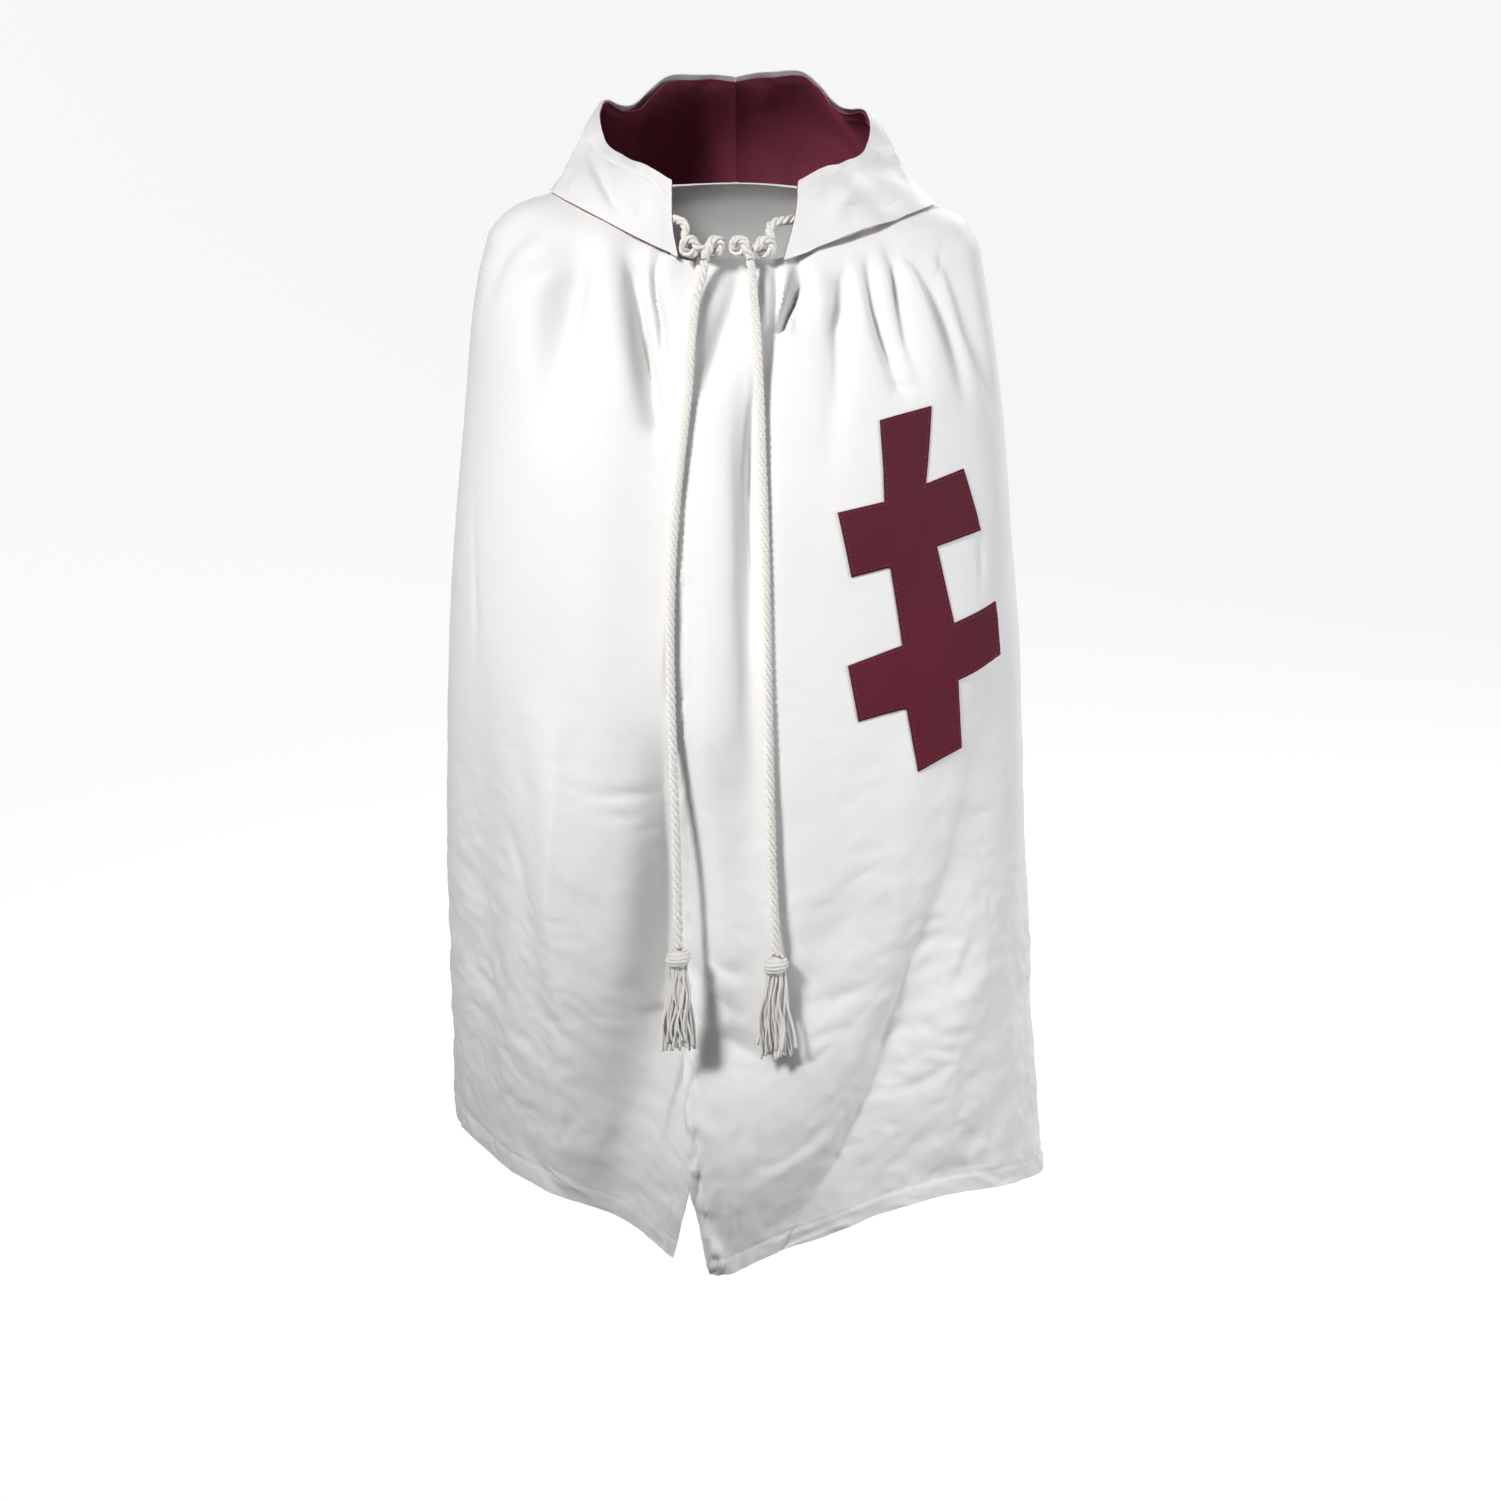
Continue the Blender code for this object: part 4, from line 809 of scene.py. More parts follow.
def over_panel(panel, angle, fall, lift=0.0):
    """Points at a height over a panel, and the panel's outward directions there."""
    normals = panel_normals(panel, angle, fall)
    return panel_points(panel, angle, fall) + lift * normals, normals


def two_paces(turn, first, last):
    """Shares from 0 to 1 with so many points up to a turning share and so many from it on."""
    return np.union1d(np.linspace(0, turn, first), np.linspace(turn, 1, last))


def panel_places(panel):
    """Angles and falls of a panel's fine grid, rows going down and columns towards the wearer's left."""
    falls = two_paces(HEM_ROWS_FALL, PANEL_ROWS, HEM_ROWS)
    if panel.edge:
        shares = two_paces(FRONT_EDGE_SHARE, FRONT_EDGE_COLUMNS, FRONT_COLUMNS)
    else:
        shares = np.linspace(0, 1, BACK_COLUMNS)
    shares, falls = np.meshgrid(shares, falls)
    seam = panel.side * edge_angle("side", falls)
    if panel.edge:
        first = edge_angle(panel.edge, falls)
        last = seam
    else:
        first = seam
        last = np.full_like(falls, panel.side * 180.0)
    angle = first + (last - first) * shares
    falls = falls - NECK_RISE * bell(angle, NECK_RISE_ANGLE) * ease(1 - falls / NECK_RISE_FALL)
    return (angle, falls) if panel.side > 0 else (angle[:, ::-1], falls[:, ::-1])


def hood_corner(side):
    return HOOD_CORNER_LEFT if side > 0 else HOOD_CORNER_RIGHT


def mouth_angle(side, angle):
    """Where the hood's mouth lies over a place on the neck seam."""
    first = HOOD_MOUTH[0].angle
    return first + (angle - hood_corner(side)) * (180.0 - first) / (180.0 - hood_corner(side))


def hood_point(side, angle, step):
    """Point on the hood's white face: a standing band in front, a hanging pouch behind."""
    low = np.full_like(angle, HOOD_OVERLAP)
    foot = drape(side * angle, low) + (SOLID_WALL + HOOD_FOOT_GAP) * drape_normal(side * angle, low)
    toward = mouth_angle(side, angle)
    turn = np.radians(toward)
    out = from_table(HOOD_MOUTH, "angle", "out", toward)
    up = from_table(HOOD_MOUTH, "angle", "left_height" if side > 0 else "right_height", toward)
    mouth = np.stack([side * out * np.sin(turn), -out * np.cos(turn), up], -1)
    point = foot + (mouth - foot) * step[..., None]
    level = np.hypot(point[..., 0], point[..., 1])
    plan = point[..., :2] / level[..., None]
    room = 1.0 / np.hypot(plan[..., 0] / POUCH_HALF_WIDTH, plan[..., 1] / POUCH_BACK) - level
    puff = np.where(angle > PUFF_START, ease(room / max(column(HOOD_POUCH, "out"))), 0.0)
    bulge = HOOD_BULGE * np.sin(np.pi * step) * (1 - puff)
    away = from_table(HOOD_POUCH, "step", "out", step) * puff + bulge
    hang = ease((angle - POUCH_START) / (POUCH_FULL - POUCH_START))
    height = point[..., 2] - from_table(HOOD_POUCH, "step", "drop", step) * hang
    side_room = POUCH_HALF_WIDTH - POUCH_SIDE_SLOPE * np.maximum(height, 0)
    slim = np.maximum(side_room / np.maximum(np.abs(plan[..., 0]), LEAST_SIDEWAYS), level)
    level = np.maximum(np.minimum(level + away, slim), rest_reach(plan, height, step))
    return np.concatenate([plan * level[..., None], height[..., None]], -1)


def rest_reach(plan, height, step):
    """Least reach of the hood where it hangs over the mantle's back: its under layer rests on the cloth."""
    angle = np.degrees(np.arctan2(plan[..., 0], -plan[..., 1]))
    top = seam_height(angle)
    fall = np.clip((top - height) / (top - hem_height(angle)), 0, 1)
    first, last = POUCH_DEEPENS
    clear = POUCH_REST + POUCH_DEPTH * ease((step - first) / (last - first)) * ease(fall / POUCH_DEEP_FALL)
    return np.where(height < top, ring_reach(angle, fall) + clear, 0.0)


def grid_normals(points):
    """Outward directions of a grid of rows going down and columns going towards the wearer's left."""
    down = np.gradient(points, axis=0)
    around = np.gradient(points, axis=1)
    return unit(np.cross(down, around))


def softened(vectors, times):
    """Directions of a grid averaged with their neighbours."""
    for _ in range(times):
        edged = np.pad(vectors, ((1, 1), (1, 1), (0, 0)), "edge")
        rows = edged[:-2, 1:-1] + edged[2:, 1:-1]
        columns = edged[1:-1, :-2] + edged[1:-1, 2:]
        vectors = unit(vectors + rows + columns)
    return vectors


def along_line(at, keys, line):
    """Points at given distances along a line of points."""
    return np.stack([np.interp(at, keys, line[:, axis]) for axis in range(3)], -1)


def drawn_up(lining):
    """The lining's grid with its last rows drawn together, so that it ends just above the hood's foot."""
    drawn = lining.copy()
    for place in range(lining.shape[1]):
        foot = lining[-LINING_FOOT_ROWS:, place]
        keys = run_lengths(foot)
        at = np.linspace(0, keys[-1] - LINING_FOOT_RISE, LINING_FOOT_ROWS)
        drawn[-LINING_FOOT_ROWS:, place] = along_line(at, keys, foot)
    return drawn


def hood_surface(side):
    """Grids of half the hood and its lining from the mouth down, with outward directions and flat places."""
    angles = np.linspace(hood_corner(side), 180.0, HOOD_COLUMNS)
    steps = two_paces(HOOD_MOUTH_STEP, HOOD_ROWS, HOOD_MOUTH_ROWS)
    angle, step = np.meshgrid(angles, steps[::-1])
    points = hood_point(side, angle, step)
    below = run_lengths(points)
    flat = hood_map(angle, step)
    lift = sum(fold_shape(item.fold, flat, hood_map) for item in HOOD_FOLDS if item.side == side)
    places = np.stack([flat[..., 0], below], -1)
    from_back_seam = np.radians(180 - angle) * HOOD_GIRTH
    calm = ease(step / HOOD_FOOT_CALM) * (1 - bell(from_back_seam, BACK_SEAM_CALM))
    lift = lift + calm * sum(rumple(layer, places, np.ones_like(angle)) for layer in HOOD_RUMPLES)
    lift = lift + band_relief(below, flat[..., 0], HOOD_BAND) - SEAM_DIP * bell(from_back_seam, SEAM_WIDTH)
    billow = sum(fold_shape(item.fold, flat, hood_map) for item in LINING_FOLDS if item.side == side)
    if side < 0:
        points, lift, places, billow = points[:, ::-1], lift[:, ::-1], places[:, ::-1], billow[:, ::-1]
    points = points + lift[..., None] * grid_normals(points)
    normals = softened(grid_normals(points), LINING_SOFTENING)
    inset = bpy.context.scene.mantle_cloth.wall + LINING_GAP + billow
    lining = points - inset[..., None] * normals
    seam = -1 if side > 0 else 0
    lining[:, seam, 0] = -side * LINING_SEAM
    return points, normals, places, drawn_up(lining)


def smooth_route(stops, spacing):
    """Evenly spaced points on a smooth curve through the route's own points."""
    stops = np.array(stops, float)
    keys = run_lengths(stops)
    at = np.linspace(0, keys[-1], max(2, round(keys[-1] / spacing)) + 1)
    return np.stack([flowing(keys, stops[:, axis], at) for axis in range(3)], -1)


def tie_seat(side):
    """Where the tie is sewn on: half a rope in from the hood's lining, behind the hood's front edge."""
    turn, rise = SEAT_PATCH
    angles = hood_corner(side) + TIE_SEAT_ANGLE + np.array([0.0, turn])
    angle, step = np.meshgrid(angles, TIE_SEAT_STEP + np.array([rise, 0.0]))
    patch = hood_point(side, angle, step)
    patch = patch if side > 0 else patch[:, ::-1]
    gap = next(seat.gap for seat in TIE_SEATS if seat.side == side)
    inside = SOLID_WALL + LINING_GAP + SEAT_LINING + gap + SEAT_ROPE
    return tuple((patch - inside * grid_normals(patch))[-1, 0 if side > 0 else -1])


def tie_route(side):
    """Half of the tie: in from the hood's edge, round the outer loop, over to the inner loop, then down."""
    aside, back, height = TIE_LEAD
    stops = [tie_seat(side), (TIE_CENTRE + side * aside, TIE_FRONT + back, height)]
    front = TIE_FRONT + TIE_START
    for loop in TIE_LOOPS:
        count = round(abs(loop.last - loop.first) / LOOP_STEP_DEGREES)
        for degrees in np.linspace(loop.first, loop.last, count):
            turn = math.radians(degrees)
            depth = front - loop.layer * abs(degrees - loop.first) / 360
            aside = loop.aside + loop.radius * math.cos(turn)
            stops.append((TIE_CENTRE + side * aside, depth, loop.height + loop.radius * math.sin(turn)))
        front = depth
    for aside, back, height in TIE_END:
        stops.append((TIE_CENTRE + side * aside, TIE_FRONT + back, height))
    return stops


def grid_faces(rows, columns):
    """Corners of a grid's quads, outer side out."""
    spot = np.arange(rows * columns).reshape(rows, columns)
    return np.stack([spot[:-1, :-1], spot[1:, :-1], spot[1:, 1:], spot[:-1, 1:]], -1).reshape(-1, 4)


def make_mesh(name, points, faces, marks):
    """A smooth mesh whose points carry the marks that its finish reads."""
    mesh = bpy.data.meshes.new(name)
    mesh.from_pydata(np.reshape(points, (-1, 3)).tolist(), [], [list(face) for face in faces])
    layer = mesh.attributes.new("flat", "FLOAT_VECTOR", "POINT")
    marks = np.reshape(marks, (-1, np.shape(marks)[-1]))
    padded = np.zeros((len(marks), 3), np.float32)
    padded[:, :marks.shape[1]] = marks
    layer.data.foreach_set("vector", padded.ravel())
    mesh.shade_smooth()
    return mesh


def shell_mesh(name, points, marks, wall):
    """A thin closed wall that grows inwards from a grid of points, with crisp edges."""
    rows, columns = points.shape[:2]
    inner = points - wall * grid_normals(points)
    outside = grid_faces(rows, columns)
    spot = np.arange(rows * columns).reshape(rows, columns)
    rim = np.concatenate([spot[0], spot[1:, -1], spot[-1, -2::-1], spot[-2::-1, 0]])
    across = rim + rows * columns
    edges = np.stack([rim[:-1], rim[1:], across[1:], across[:-1]], -1)
    faces = np.concatenate([outside, outside[:, ::-1] + rows * columns, edges])
    mesh = make_mesh(name, np.stack([points, inner]), faces, np.stack([marks, marks]))
    mesh.set_sharp_from_angle(angle=SHARP_EDGE)
    return mesh


def add_piece(mesh, finish, nodes=()):
    """Puts a piece in the scene on the mantle's body, in place of the solids that it stands for."""
    item = bpy.data.objects.new(mesh.name, mesh)
    mesh.materials.append(finish)
    bpy.context.scene.collection.objects.link(item)
    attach(item, BODY)
    if nodes:
        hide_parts(*nodes)
    return item


def add_wall(item, thickness):
    """Grows a piece's wall inwards from its outer face."""
    wall = item.modifiers.new("wall", "SOLIDIFY")
    wall.thickness = thickness
    wall.offset = -1.0
    wall.use_even_offset = False


def tube_rings(centres, outward, radius, sides):
    """Points and marks of round tubes: centres is tubes by points, outward the ring's first direction."""
    ahead = unit(np.gradient(centres, axis=1))
    outward = unit(outward - np.sum(outward * ahead, -1, keepdims=True) * ahead)
    beside = np.cross(ahead, outward)
    turn = 2 * np.pi * np.arange(sides) / sides
    ring = np.cos(turn)[:, None] * outward[:, :, None] + np.sin(turn)[:, None] * beside[:, :, None]
    points = centres[:, :, None] + radius[..., None, None] * ring
    marks = np.zeros(points.shape)
    marks[..., 0] = run_lengths(centres, axis=1)[..., None]
    marks[..., 1] = turn
    marks[..., 2] = np.arange(len(centres))[:, None, None]
    return points, marks


def tube_faces(tubes, rings, sides):
    """Quads along each tube and a cap at both its ends."""
    spot = np.arange(tubes * rings * sides).reshape(tubes, rings, sides)
    after = np.roll(spot, -1, axis=2)
    walls = np.stack([spot[:, :-1], after[:, :-1], after[:, 1:], spot[:, 1:]], -1).reshape(-1, 4)
    return walls.tolist() + spot[:, 0, ::-1].tolist() + spot[:, -1].tolist()


def tube_part(centres, outward, radius, sides):
    """Points, faces and marks of round tubes."""
    points, marks = tube_rings(centres, outward, radius, sides)
    return points, tube_faces(*centres.shape[:2], sides), marks


def carried_sides(path):
    """Two directions across a path, carried along it without twist."""
    ahead = unit(np.gradient(path, axis=0))
    first = np.cross(ahead[0], (1.0, 0.0, 0.0))
    across = [unit(first)]
    for direction in ahead[1:]:
        carried = across[-1] - (across[-1] @ direction) * direction
        across.append(unit(carried))
    across = np.array(across)
    return across, np.cross(ahead, across)


def rope_mesh(name, path, rope):
    """Strands laid round one another along the path."""
    across, beside = carried_sides(path)
    turn = 2 * np.pi * (np.arange(STRANDS)[:, None] / STRANDS - run_lengths(path) / rope.lay)
    outward = np.cos(turn)[..., None] * across + np.sin(turn)[..., None] * beside
    strand = 0.5 * rope.diameter * STRAND_SHARE
    centres = path + (0.5 * rope.diameter - strand) * outward
    return make_mesh(name, *tube_part(centres, outward, np.full(turn.shape, strand), STRAND_SIDES))


def tassel_head(top):
    """Centres and outward directions of the cord wound round a tassel's head, and the head's middle."""
    turn = np.linspace(0, 2 * np.pi * HEAD_TURNS, HEAD_TURN_POINTS * HEAD_TURNS)
    height = np.linspace(*HEAD_WOUND, len(turn))
    level = np.sqrt(np.maximum(HEAD_HALF ** 2 - height ** 2, HEAD_LEAST))
    outward = np.stack([np.cos(turn), np.sin(turn), np.zeros_like(turn)], -1)
    reach = 2 * level * (0.5 * HEAD_WIDTH - HEAD_WINDING)
    centres = outward * reach[:, None]
    centres[:, 2] = height * (HEAD_HEIGHT - HEAD_WINDING) + HEAD_TILT * centres[:, 0]
    middle = np.array(top) - (0, 0, HEAD_GAP + HEAD_HEIGHT / 2)
    return centres + middle, outward, middle


def tassel_skirt(middle, dice, count):
    """Thin wavy cords that hang from the middle of a tassel's head."""
    turn = 2 * np.pi * (np.arange(count) * SKIRT_TURN % 1)
    depth = np.sqrt((np.arange(count) + 0.5) / count)
    aside = np.stack([np.cos(turn), SKIRT_FLATNESS * np.sin(turn), np.zeros(count)], -1)
    share = np.linspace(0, 1, SKIRT_POINTS)
    flare = dice.uniform(*SKIRT_FLARE, (count, 1))
    spread = SKIRT_ROOT + (SKIRT_TIP * flare - SKIRT_ROOT) * share ** SKIRT_CURVE
    centres = middle + (depth[:, None] * spread)[..., None] * aside[:, None]
    length = SKIRT * (1 - SKIRT_UNEVENNESS * dice.uniform(0, 1, count))
    centres[..., 2] -= length[:, None] * share
    centres[..., 1] -= SKIRT_LEAN * share
    phase = dice.uniform(0, 2 * np.pi, (count, 1))
    pace = dice.uniform(*SKIRT_PACE, (count, 1))
    sway = SKIRT_SWAY * dice.uniform(*SKIRT_SWAY_SHARE, (count, 1)) * ease(share / SKIRT_SWAY_START)
    centres[..., 0] += sway * np.sin(pace * share + phase)
    centres[..., 1] += SKIRT_FLATNESS * sway * np.cos(pace * SKIRT_PACE_DEPTH * share + phase)
    frayed = 1 + SKIRT_FRAY * ease((share - SKIRT_FRAY_START) / (1 - SKIRT_FRAY_START))
    radius = SKIRT_CORD * frayed * dice.uniform(*SKIRT_CORD_SHARE, (count, 1))
    facing = np.broadcast_to(aside[:, None] + SKIRT_FACING, centres.shape)
    return tube_part(centres, facing, radius, SKIRT_SIDES)


def tassel_core(middle):
    """The round core inside a tassel's head, its points and faces in an order that is the same each time."""
    across, down = CORE_SEGMENTS
    core = bmesh.new()
    bmesh.ops.create_uvsphere(core, u_segments=across, v_segments=down, radius=HEAD_HALF)
    points = np.array([vert.co for vert in core.verts])
    order = np.lexsort(np.round(points, CORE_DIGITS).T)
    place = np.argsort(order)
    faces = sorted(place[[vert.index for vert in face.verts]].tolist() for face in core.faces)
    core.free()
    scale = HEAD_CORE * np.array([HEAD_WIDTH, HEAD_WIDTH, HEAD_HEIGHT])
    points = points[order] * scale + middle
    return points, faces, np.zeros_like(points)


def tassel_mesh(name, top, count):
    """A wound head over a core, with a skirt of so many cords."""
    windings, outward, middle = tassel_head(top)
    radius = np.full((1, len(windings)), HEAD_WINDING)
    head = tube_part(windings[None], outward[None], radius, HEAD_SIDES)
    dice = np.random.default_rng(TASSEL_SEED + round(abs(top[0]) * TASSEL_SEED_PLACES))
    return joined_mesh(name, [head, tassel_skirt(middle, dice, count), tassel_core(middle)])


def joined_mesh(name, parts):
    """One mesh from parts of points, faces and marks."""
    faces = []
    start = 0
    for points, part_faces, _ in parts:
        faces += [[spot + start for spot in face] for face in part_faces]
        start += points.size // 3
    points = np.concatenate([np.reshape(part[0], (-1, 3)) for part in parts])
    marks = np.concatenate([np.reshape(part[2], (-1, 3)) for part in parts])
    return make_mesh(name, points, faces, marks)


def stitch_part(line, normals):
    """Sewn stitches, evenly spaced along a line on the cloth."""
    keys = run_lengths(line)
    middles = np.arange(STITCH_PITCH / 2, keys[-1], STITCH_PITCH)
    at = middles[:, None] + STITCH_LENGTH * column(STITCH_RINGS, "along")
    upward = unit(along_line(at, keys, normals))
    lift = STITCH_THREAD * column(STITCH_RINGS, "lift")
    centres = along_line(at, keys, line) + upward * lift[:, None]
    radius = np.broadcast_to(STITCH_THREAD * column(STITCH_RINGS, "width"), at.shape)
    return tube_part(centres, upward, radius, STITCH_SIDES)


def hem_line(panel):
    """Points and outward directions along the stitches of a panel's hem."""
    angle = panel_places(panel)[0][-1]
    angle = np.linspace(angle[0], angle[-1], STITCH_LINE_POINTS)
    fall = 1 - bpy.context.scene.mantle_cloth.hem / (seam_height(angle) - hem_height(angle))
    return over_panel(panel, angle, fall)


def edge_line(panel):
    """Points and outward directions along the stitches of a front's free edge."""
    fall = np.linspace(*EDGE_STITCH_FALLS, STITCH_LINE_POINTS)
    angle = edge_angle(panel.edge, fall) + panel.side * np.degrees(EDGE_BAND / girth(fall))
    return over_panel(panel, angle, fall)


def mouth_line(side):
    """Points and outward directions along the stitches below half of the hood's mouth."""
    points, normals, places, _ = hood_surface(side)
    below = places[..., 1]
    low = np.argmax(below >= HOOD_BAND, axis=0)
    spots = np.arange(below.shape[1])
    share = (HOOD_BAND - below[low - 1, spots]) / (below[low, spots] - below[low - 1, spots])
    line = points[low - 1, spots] + share[:, None] * (points[low, spots] - points[low - 1, spots])
    return line, normals[low, spots]


def cross_lines():
    """Points and outward directions along the stitches inside each side of the cross."""
    corners = np.array([cloth_map(*corner) for corner in cross_outline()])
    following = np.roll(corners, -1, axis=0)
    ahead = unit(following - corners)
    turning = np.sign(np.sum(corners[:, 0] * following[:, 1] - following[:, 0] * corners[:, 1]))
    inward = turning * np.stack([-ahead[:, 1], ahead[:, 0]], -1)
    before = np.roll(inward, 1, axis=0)
    corners = corners + CROSS_INSET * (inward + before) / (1 + np.sum(inward * before, -1, keepdims=True))
    lines = []
    for start, end in zip(corners, np.roll(corners, -1, axis=0)):
        around, down = np.moveaxis(np.linspace(start, end, CROSS_STITCH_POINTS), -1, 0)
        fall = down / CLOTH_LENGTH
        angle = np.degrees(around / girth(fall))
        lines.append(over_panel(CROSS_PANEL, angle, fall, CROSS_LIFT))
    return lines


class Socket:
    """A shader value in Python sums: each operator adds a Math node to its finish."""

    def __init__(self, finish, output):
        self.finish = finish
        self.output = output

    def math(self, operation, *values):
        return self.finish.node("ShaderNodeMath", {"operation": operation}, dict(enumerate(values)))

    def beside(self, name):
        """Another output of the same node."""
        return Socket(self.finish, self.output.node.outputs[name])

    def __add__(self, other):
        return self.math("ADD", self, other)

    def __sub__(self, other):
        return self.math("SUBTRACT", self, other)

    def __rsub__(self, other):
        return self.math("SUBTRACT", other, self)

    def __mul__(self, other):
        return self.math("MULTIPLY", self, other)

    def __truediv__(self, other):
        return self.math("DIVIDE", self, other)

    def __rtruediv__(self, other):
        return self.math("DIVIDE", other, self)

    def sine(self):
        return self.math("SINE", self)

    __radd__ = __add__
    __rmul__ = __mul__


class Finish:
    """A material whose nodes are added one by one round its Principled BSDF."""

    def __init__(self, name):
        self.material = bpy.data.materials.new(name)
        self.material.use_nodes = True
        self.tree = self.material.node_tree
        self.shader = self.tree.nodes["Principled BSDF"]

    def node(self, kind, settings=None, inputs=None, output=0):
        made = self.tree.nodes.new(kind)
        for name, value in (settings or {}).items():
            setattr(made, name, value)
        self.feed(made, inputs or {})
        return Socket(self, made.outputs[output])

    def feed(self, node, inputs):
        for name, value in inputs.items():
            if isinstance(value, Socket):
                self.tree.links.new(value.output, node.inputs[name])
            else:
                node.inputs[name].default_value = value

    def places(self):
        """The piece's flat places as a vector and as its two distances."""
        flat = self.node("ShaderNodeAttribute", {"attribute_name": "flat"}, output="Vector")
        first = self.node("ShaderNodeSeparateXYZ", None, {0: flat})
        return flat, first, first.beside("Y")

    def grain(self, flat, stretch, detail=2.0):
        """Noise over the flat places, stretched by so many grains a metre each way."""
        spots = self.node("ShaderNodeVectorMath", {"operation": "MULTIPLY"}, {0: flat, 1: stretch})
        return self.node("ShaderNodeTexNoise", None, {"Vector": spots, "Scale": 1.0, "Detail": detail})

    def mix(self, share, first, second):
        """Colour between two colours."""
        settings = {"data_type": "RGBA", "clamp_factor": True}
        return self.node("ShaderNodeMix", settings, {0: share, 6: first, 7: second}, 2)

    def woven(self, look, pitch):
        """Flat places, distance down, a plain weave and its uneven threads."""
        flat, across, down = self.places()
        weave = phase(across, pitch).sine() * phase(down, pitch).sine()
        weft, warp, _ = look.grain
        threads = self.grain(flat, look.grain) * 0.5 + self.grain(flat, (warp, weft, 1)) * 0.5
        return flat, down, weave, threads

    def clouded(self, look, flat, grain):
        """Tone of a grain under large soft clouds."""
        return grain * (1 - look.cloudy) + self.grain(flat, look.clouds, CLOUD_DETAIL) * look.cloudy

    def shade(self, look, colour, tone):
        """A colour from its darkest level to its lightest."""
        return self.mix(tone, solid(colour, look.dark), solid(colour, look.light))

    def surface(self, look, colour, pattern, grain):
        """Gives the shader its colour, and its roughness and bumps from a pattern and a grain."""
        height = pattern * look.pattern + grain * look.raised
        bump = {"Height": height, "Distance": look.depth, "Strength": look.bump}
        self.feed(self.shader, {
            "Base Color": colour,
            "Roughness": grain * look.rougher + look.rough,
            "Normal": self.node("ShaderNodeBump", None, bump),
        })


def phase(place, pitch):
    """How far a wave has turned at a distance; its crests are a pitch apart."""
    return place * (2 * math.pi / pitch)


def solid(colour, level=1.0):
    """A colour for a socket, made lighter or darker."""
    return (*(part * level for part in colour), 1.0)


def white_cloth_finish(name):
    """Plain-woven white cloth: fine weave, uneven threads and a faint sheen."""
    cloth = bpy.context.scene.mantle_cloth
    finish = Finish(name)
    flat, _, weave, threads = finish.woven(COTTON_LOOK, cloth.weave)
    tone = finish.clouded(COTTON_LOOK, flat, threads)
    finish.surface(COTTON_LOOK, finish.shade(COTTON_LOOK, cloth.colour, tone), weave, threads)
    finish.feed(finish.shader, {"Sheen Weight": 0.25, "Sheen Roughness": 0.45, "Specular IOR Level": 0.35})
    return finish.material


def lining_finish(name):
    """Maroon satin: a close slanting face with soft shine and darker streaks."""
    lining = bpy.context.scene.mantle_lining
    finish = Finish(name)
    flat, across, down = finish.places()
    face = phase(across + down * SATIN_SLANT, lining.face).sine()
    streaks = finish.grain(flat, SATIN_LOOK.grain)
    tone = finish.clouded(SATIN_LOOK, flat, streaks)
    finish.surface(SATIN_LOOK, finish.shade(SATIN_LOOK, lining.colour, tone), face, streaks)
    tint = solid(lining.colour, SATIN_TINT)
    finish.feed(finish.shader, {"Sheen Weight": 0.20, "Sheen Roughness": 0.35, "Sheen Tint": tint})
    return finish.material


def applique_finish(name):
    """Dull maroon cotton with a plain weave, greyer at its top and redder towards its foot; the greyer top
    is painted light.
    """
    cross = bpy.context.scene.mantle_cross
    finish = Finish(name)
    flat, down, weave, threads = finish.woven(APPLIQUE_LOOK, cross.weave)
    tone = finish.clouded(APPLIQUE_LOOK, flat, threads)
    top = CROSS_LINES[0].shaft_left[1] * CLOTH_LENGTH
    foot = CROSS_LINES[-1].shaft_left[1] * CLOTH_LENGTH
    lower = (down - top) / (foot - top)
    # Colour from the cross's top to its foot: the greyer top is a painted wash of light that fades down the
    # cross
    base = finish.mix(lower, solid(cross.painted_light_top_colour), solid(cross.lower_colour))
    worn = finish.shade(APPLIQUE_LOOK, WHITE, tone)
    settings = {"data_type": "RGBA", "blend_type": "MULTIPLY"}
    colour = finish.node("ShaderNodeMix", settings, {0: 1.0, 6: base, 7: worn}, 2)
    finish.surface(APPLIQUE_LOOK, colour, weave, threads)
    finish.feed(finish.shader, {"Specular IOR Level": 0.10})
    return finish.material


def rope_finish(name, cord):
    """White cord: fine yarns turning along each strand, with painted shade in the hollows between them."""
    rope = bpy.context.scene.mantle_rope
    finish = Finish(name)
    flat, along, turn = finish.places()
    yarn = (phase(along, cord.pitch) + turn * cord.yarns).sine()
    fibre = finish.grain(flat, CORD_LOOK.grain)
    # The yarn wave darkens the hollows between yarns and lightens their crests (painted shade and painted
    # highlight); the fibre noise is the cord's own uneven tone
    tone = yarn * YARN_PAINTED_SHADE + 0.5 + (fibre - 0.5) * FIBRE_TONE
    finish.surface(CORD_LOOK, finish.shade(CORD_LOOK, rope.colour, tone), yarn, fibre)
    finish.feed(finish.shader, {"Sheen Weight": 0.2, "Sheen Roughness": 0.4})
    return finish.material


def thread_finish(name, colour):
    """Twisted sewing thread, its twist drawn as painted shade and painted highlight."""
    finish = Finish(name)
    _, along, turn = finish.places()
    twist = (phase(along, THREAD_TWIST) + turn).sine()
    # Darker and lighter copies of the thread's colour along its twist: painted shade and painted highlight
    darker, lighter = (solid(colour, level) for level in THREAD_TWIST_PAINTED_SHADES)
    finish.feed(finish.shader, {
        "Base Color": finish.mix(twist * 0.5 + 0.5, darker, lighter),
        "Roughness": twist * 0.05 + 0.5,
    })
    return finish.material


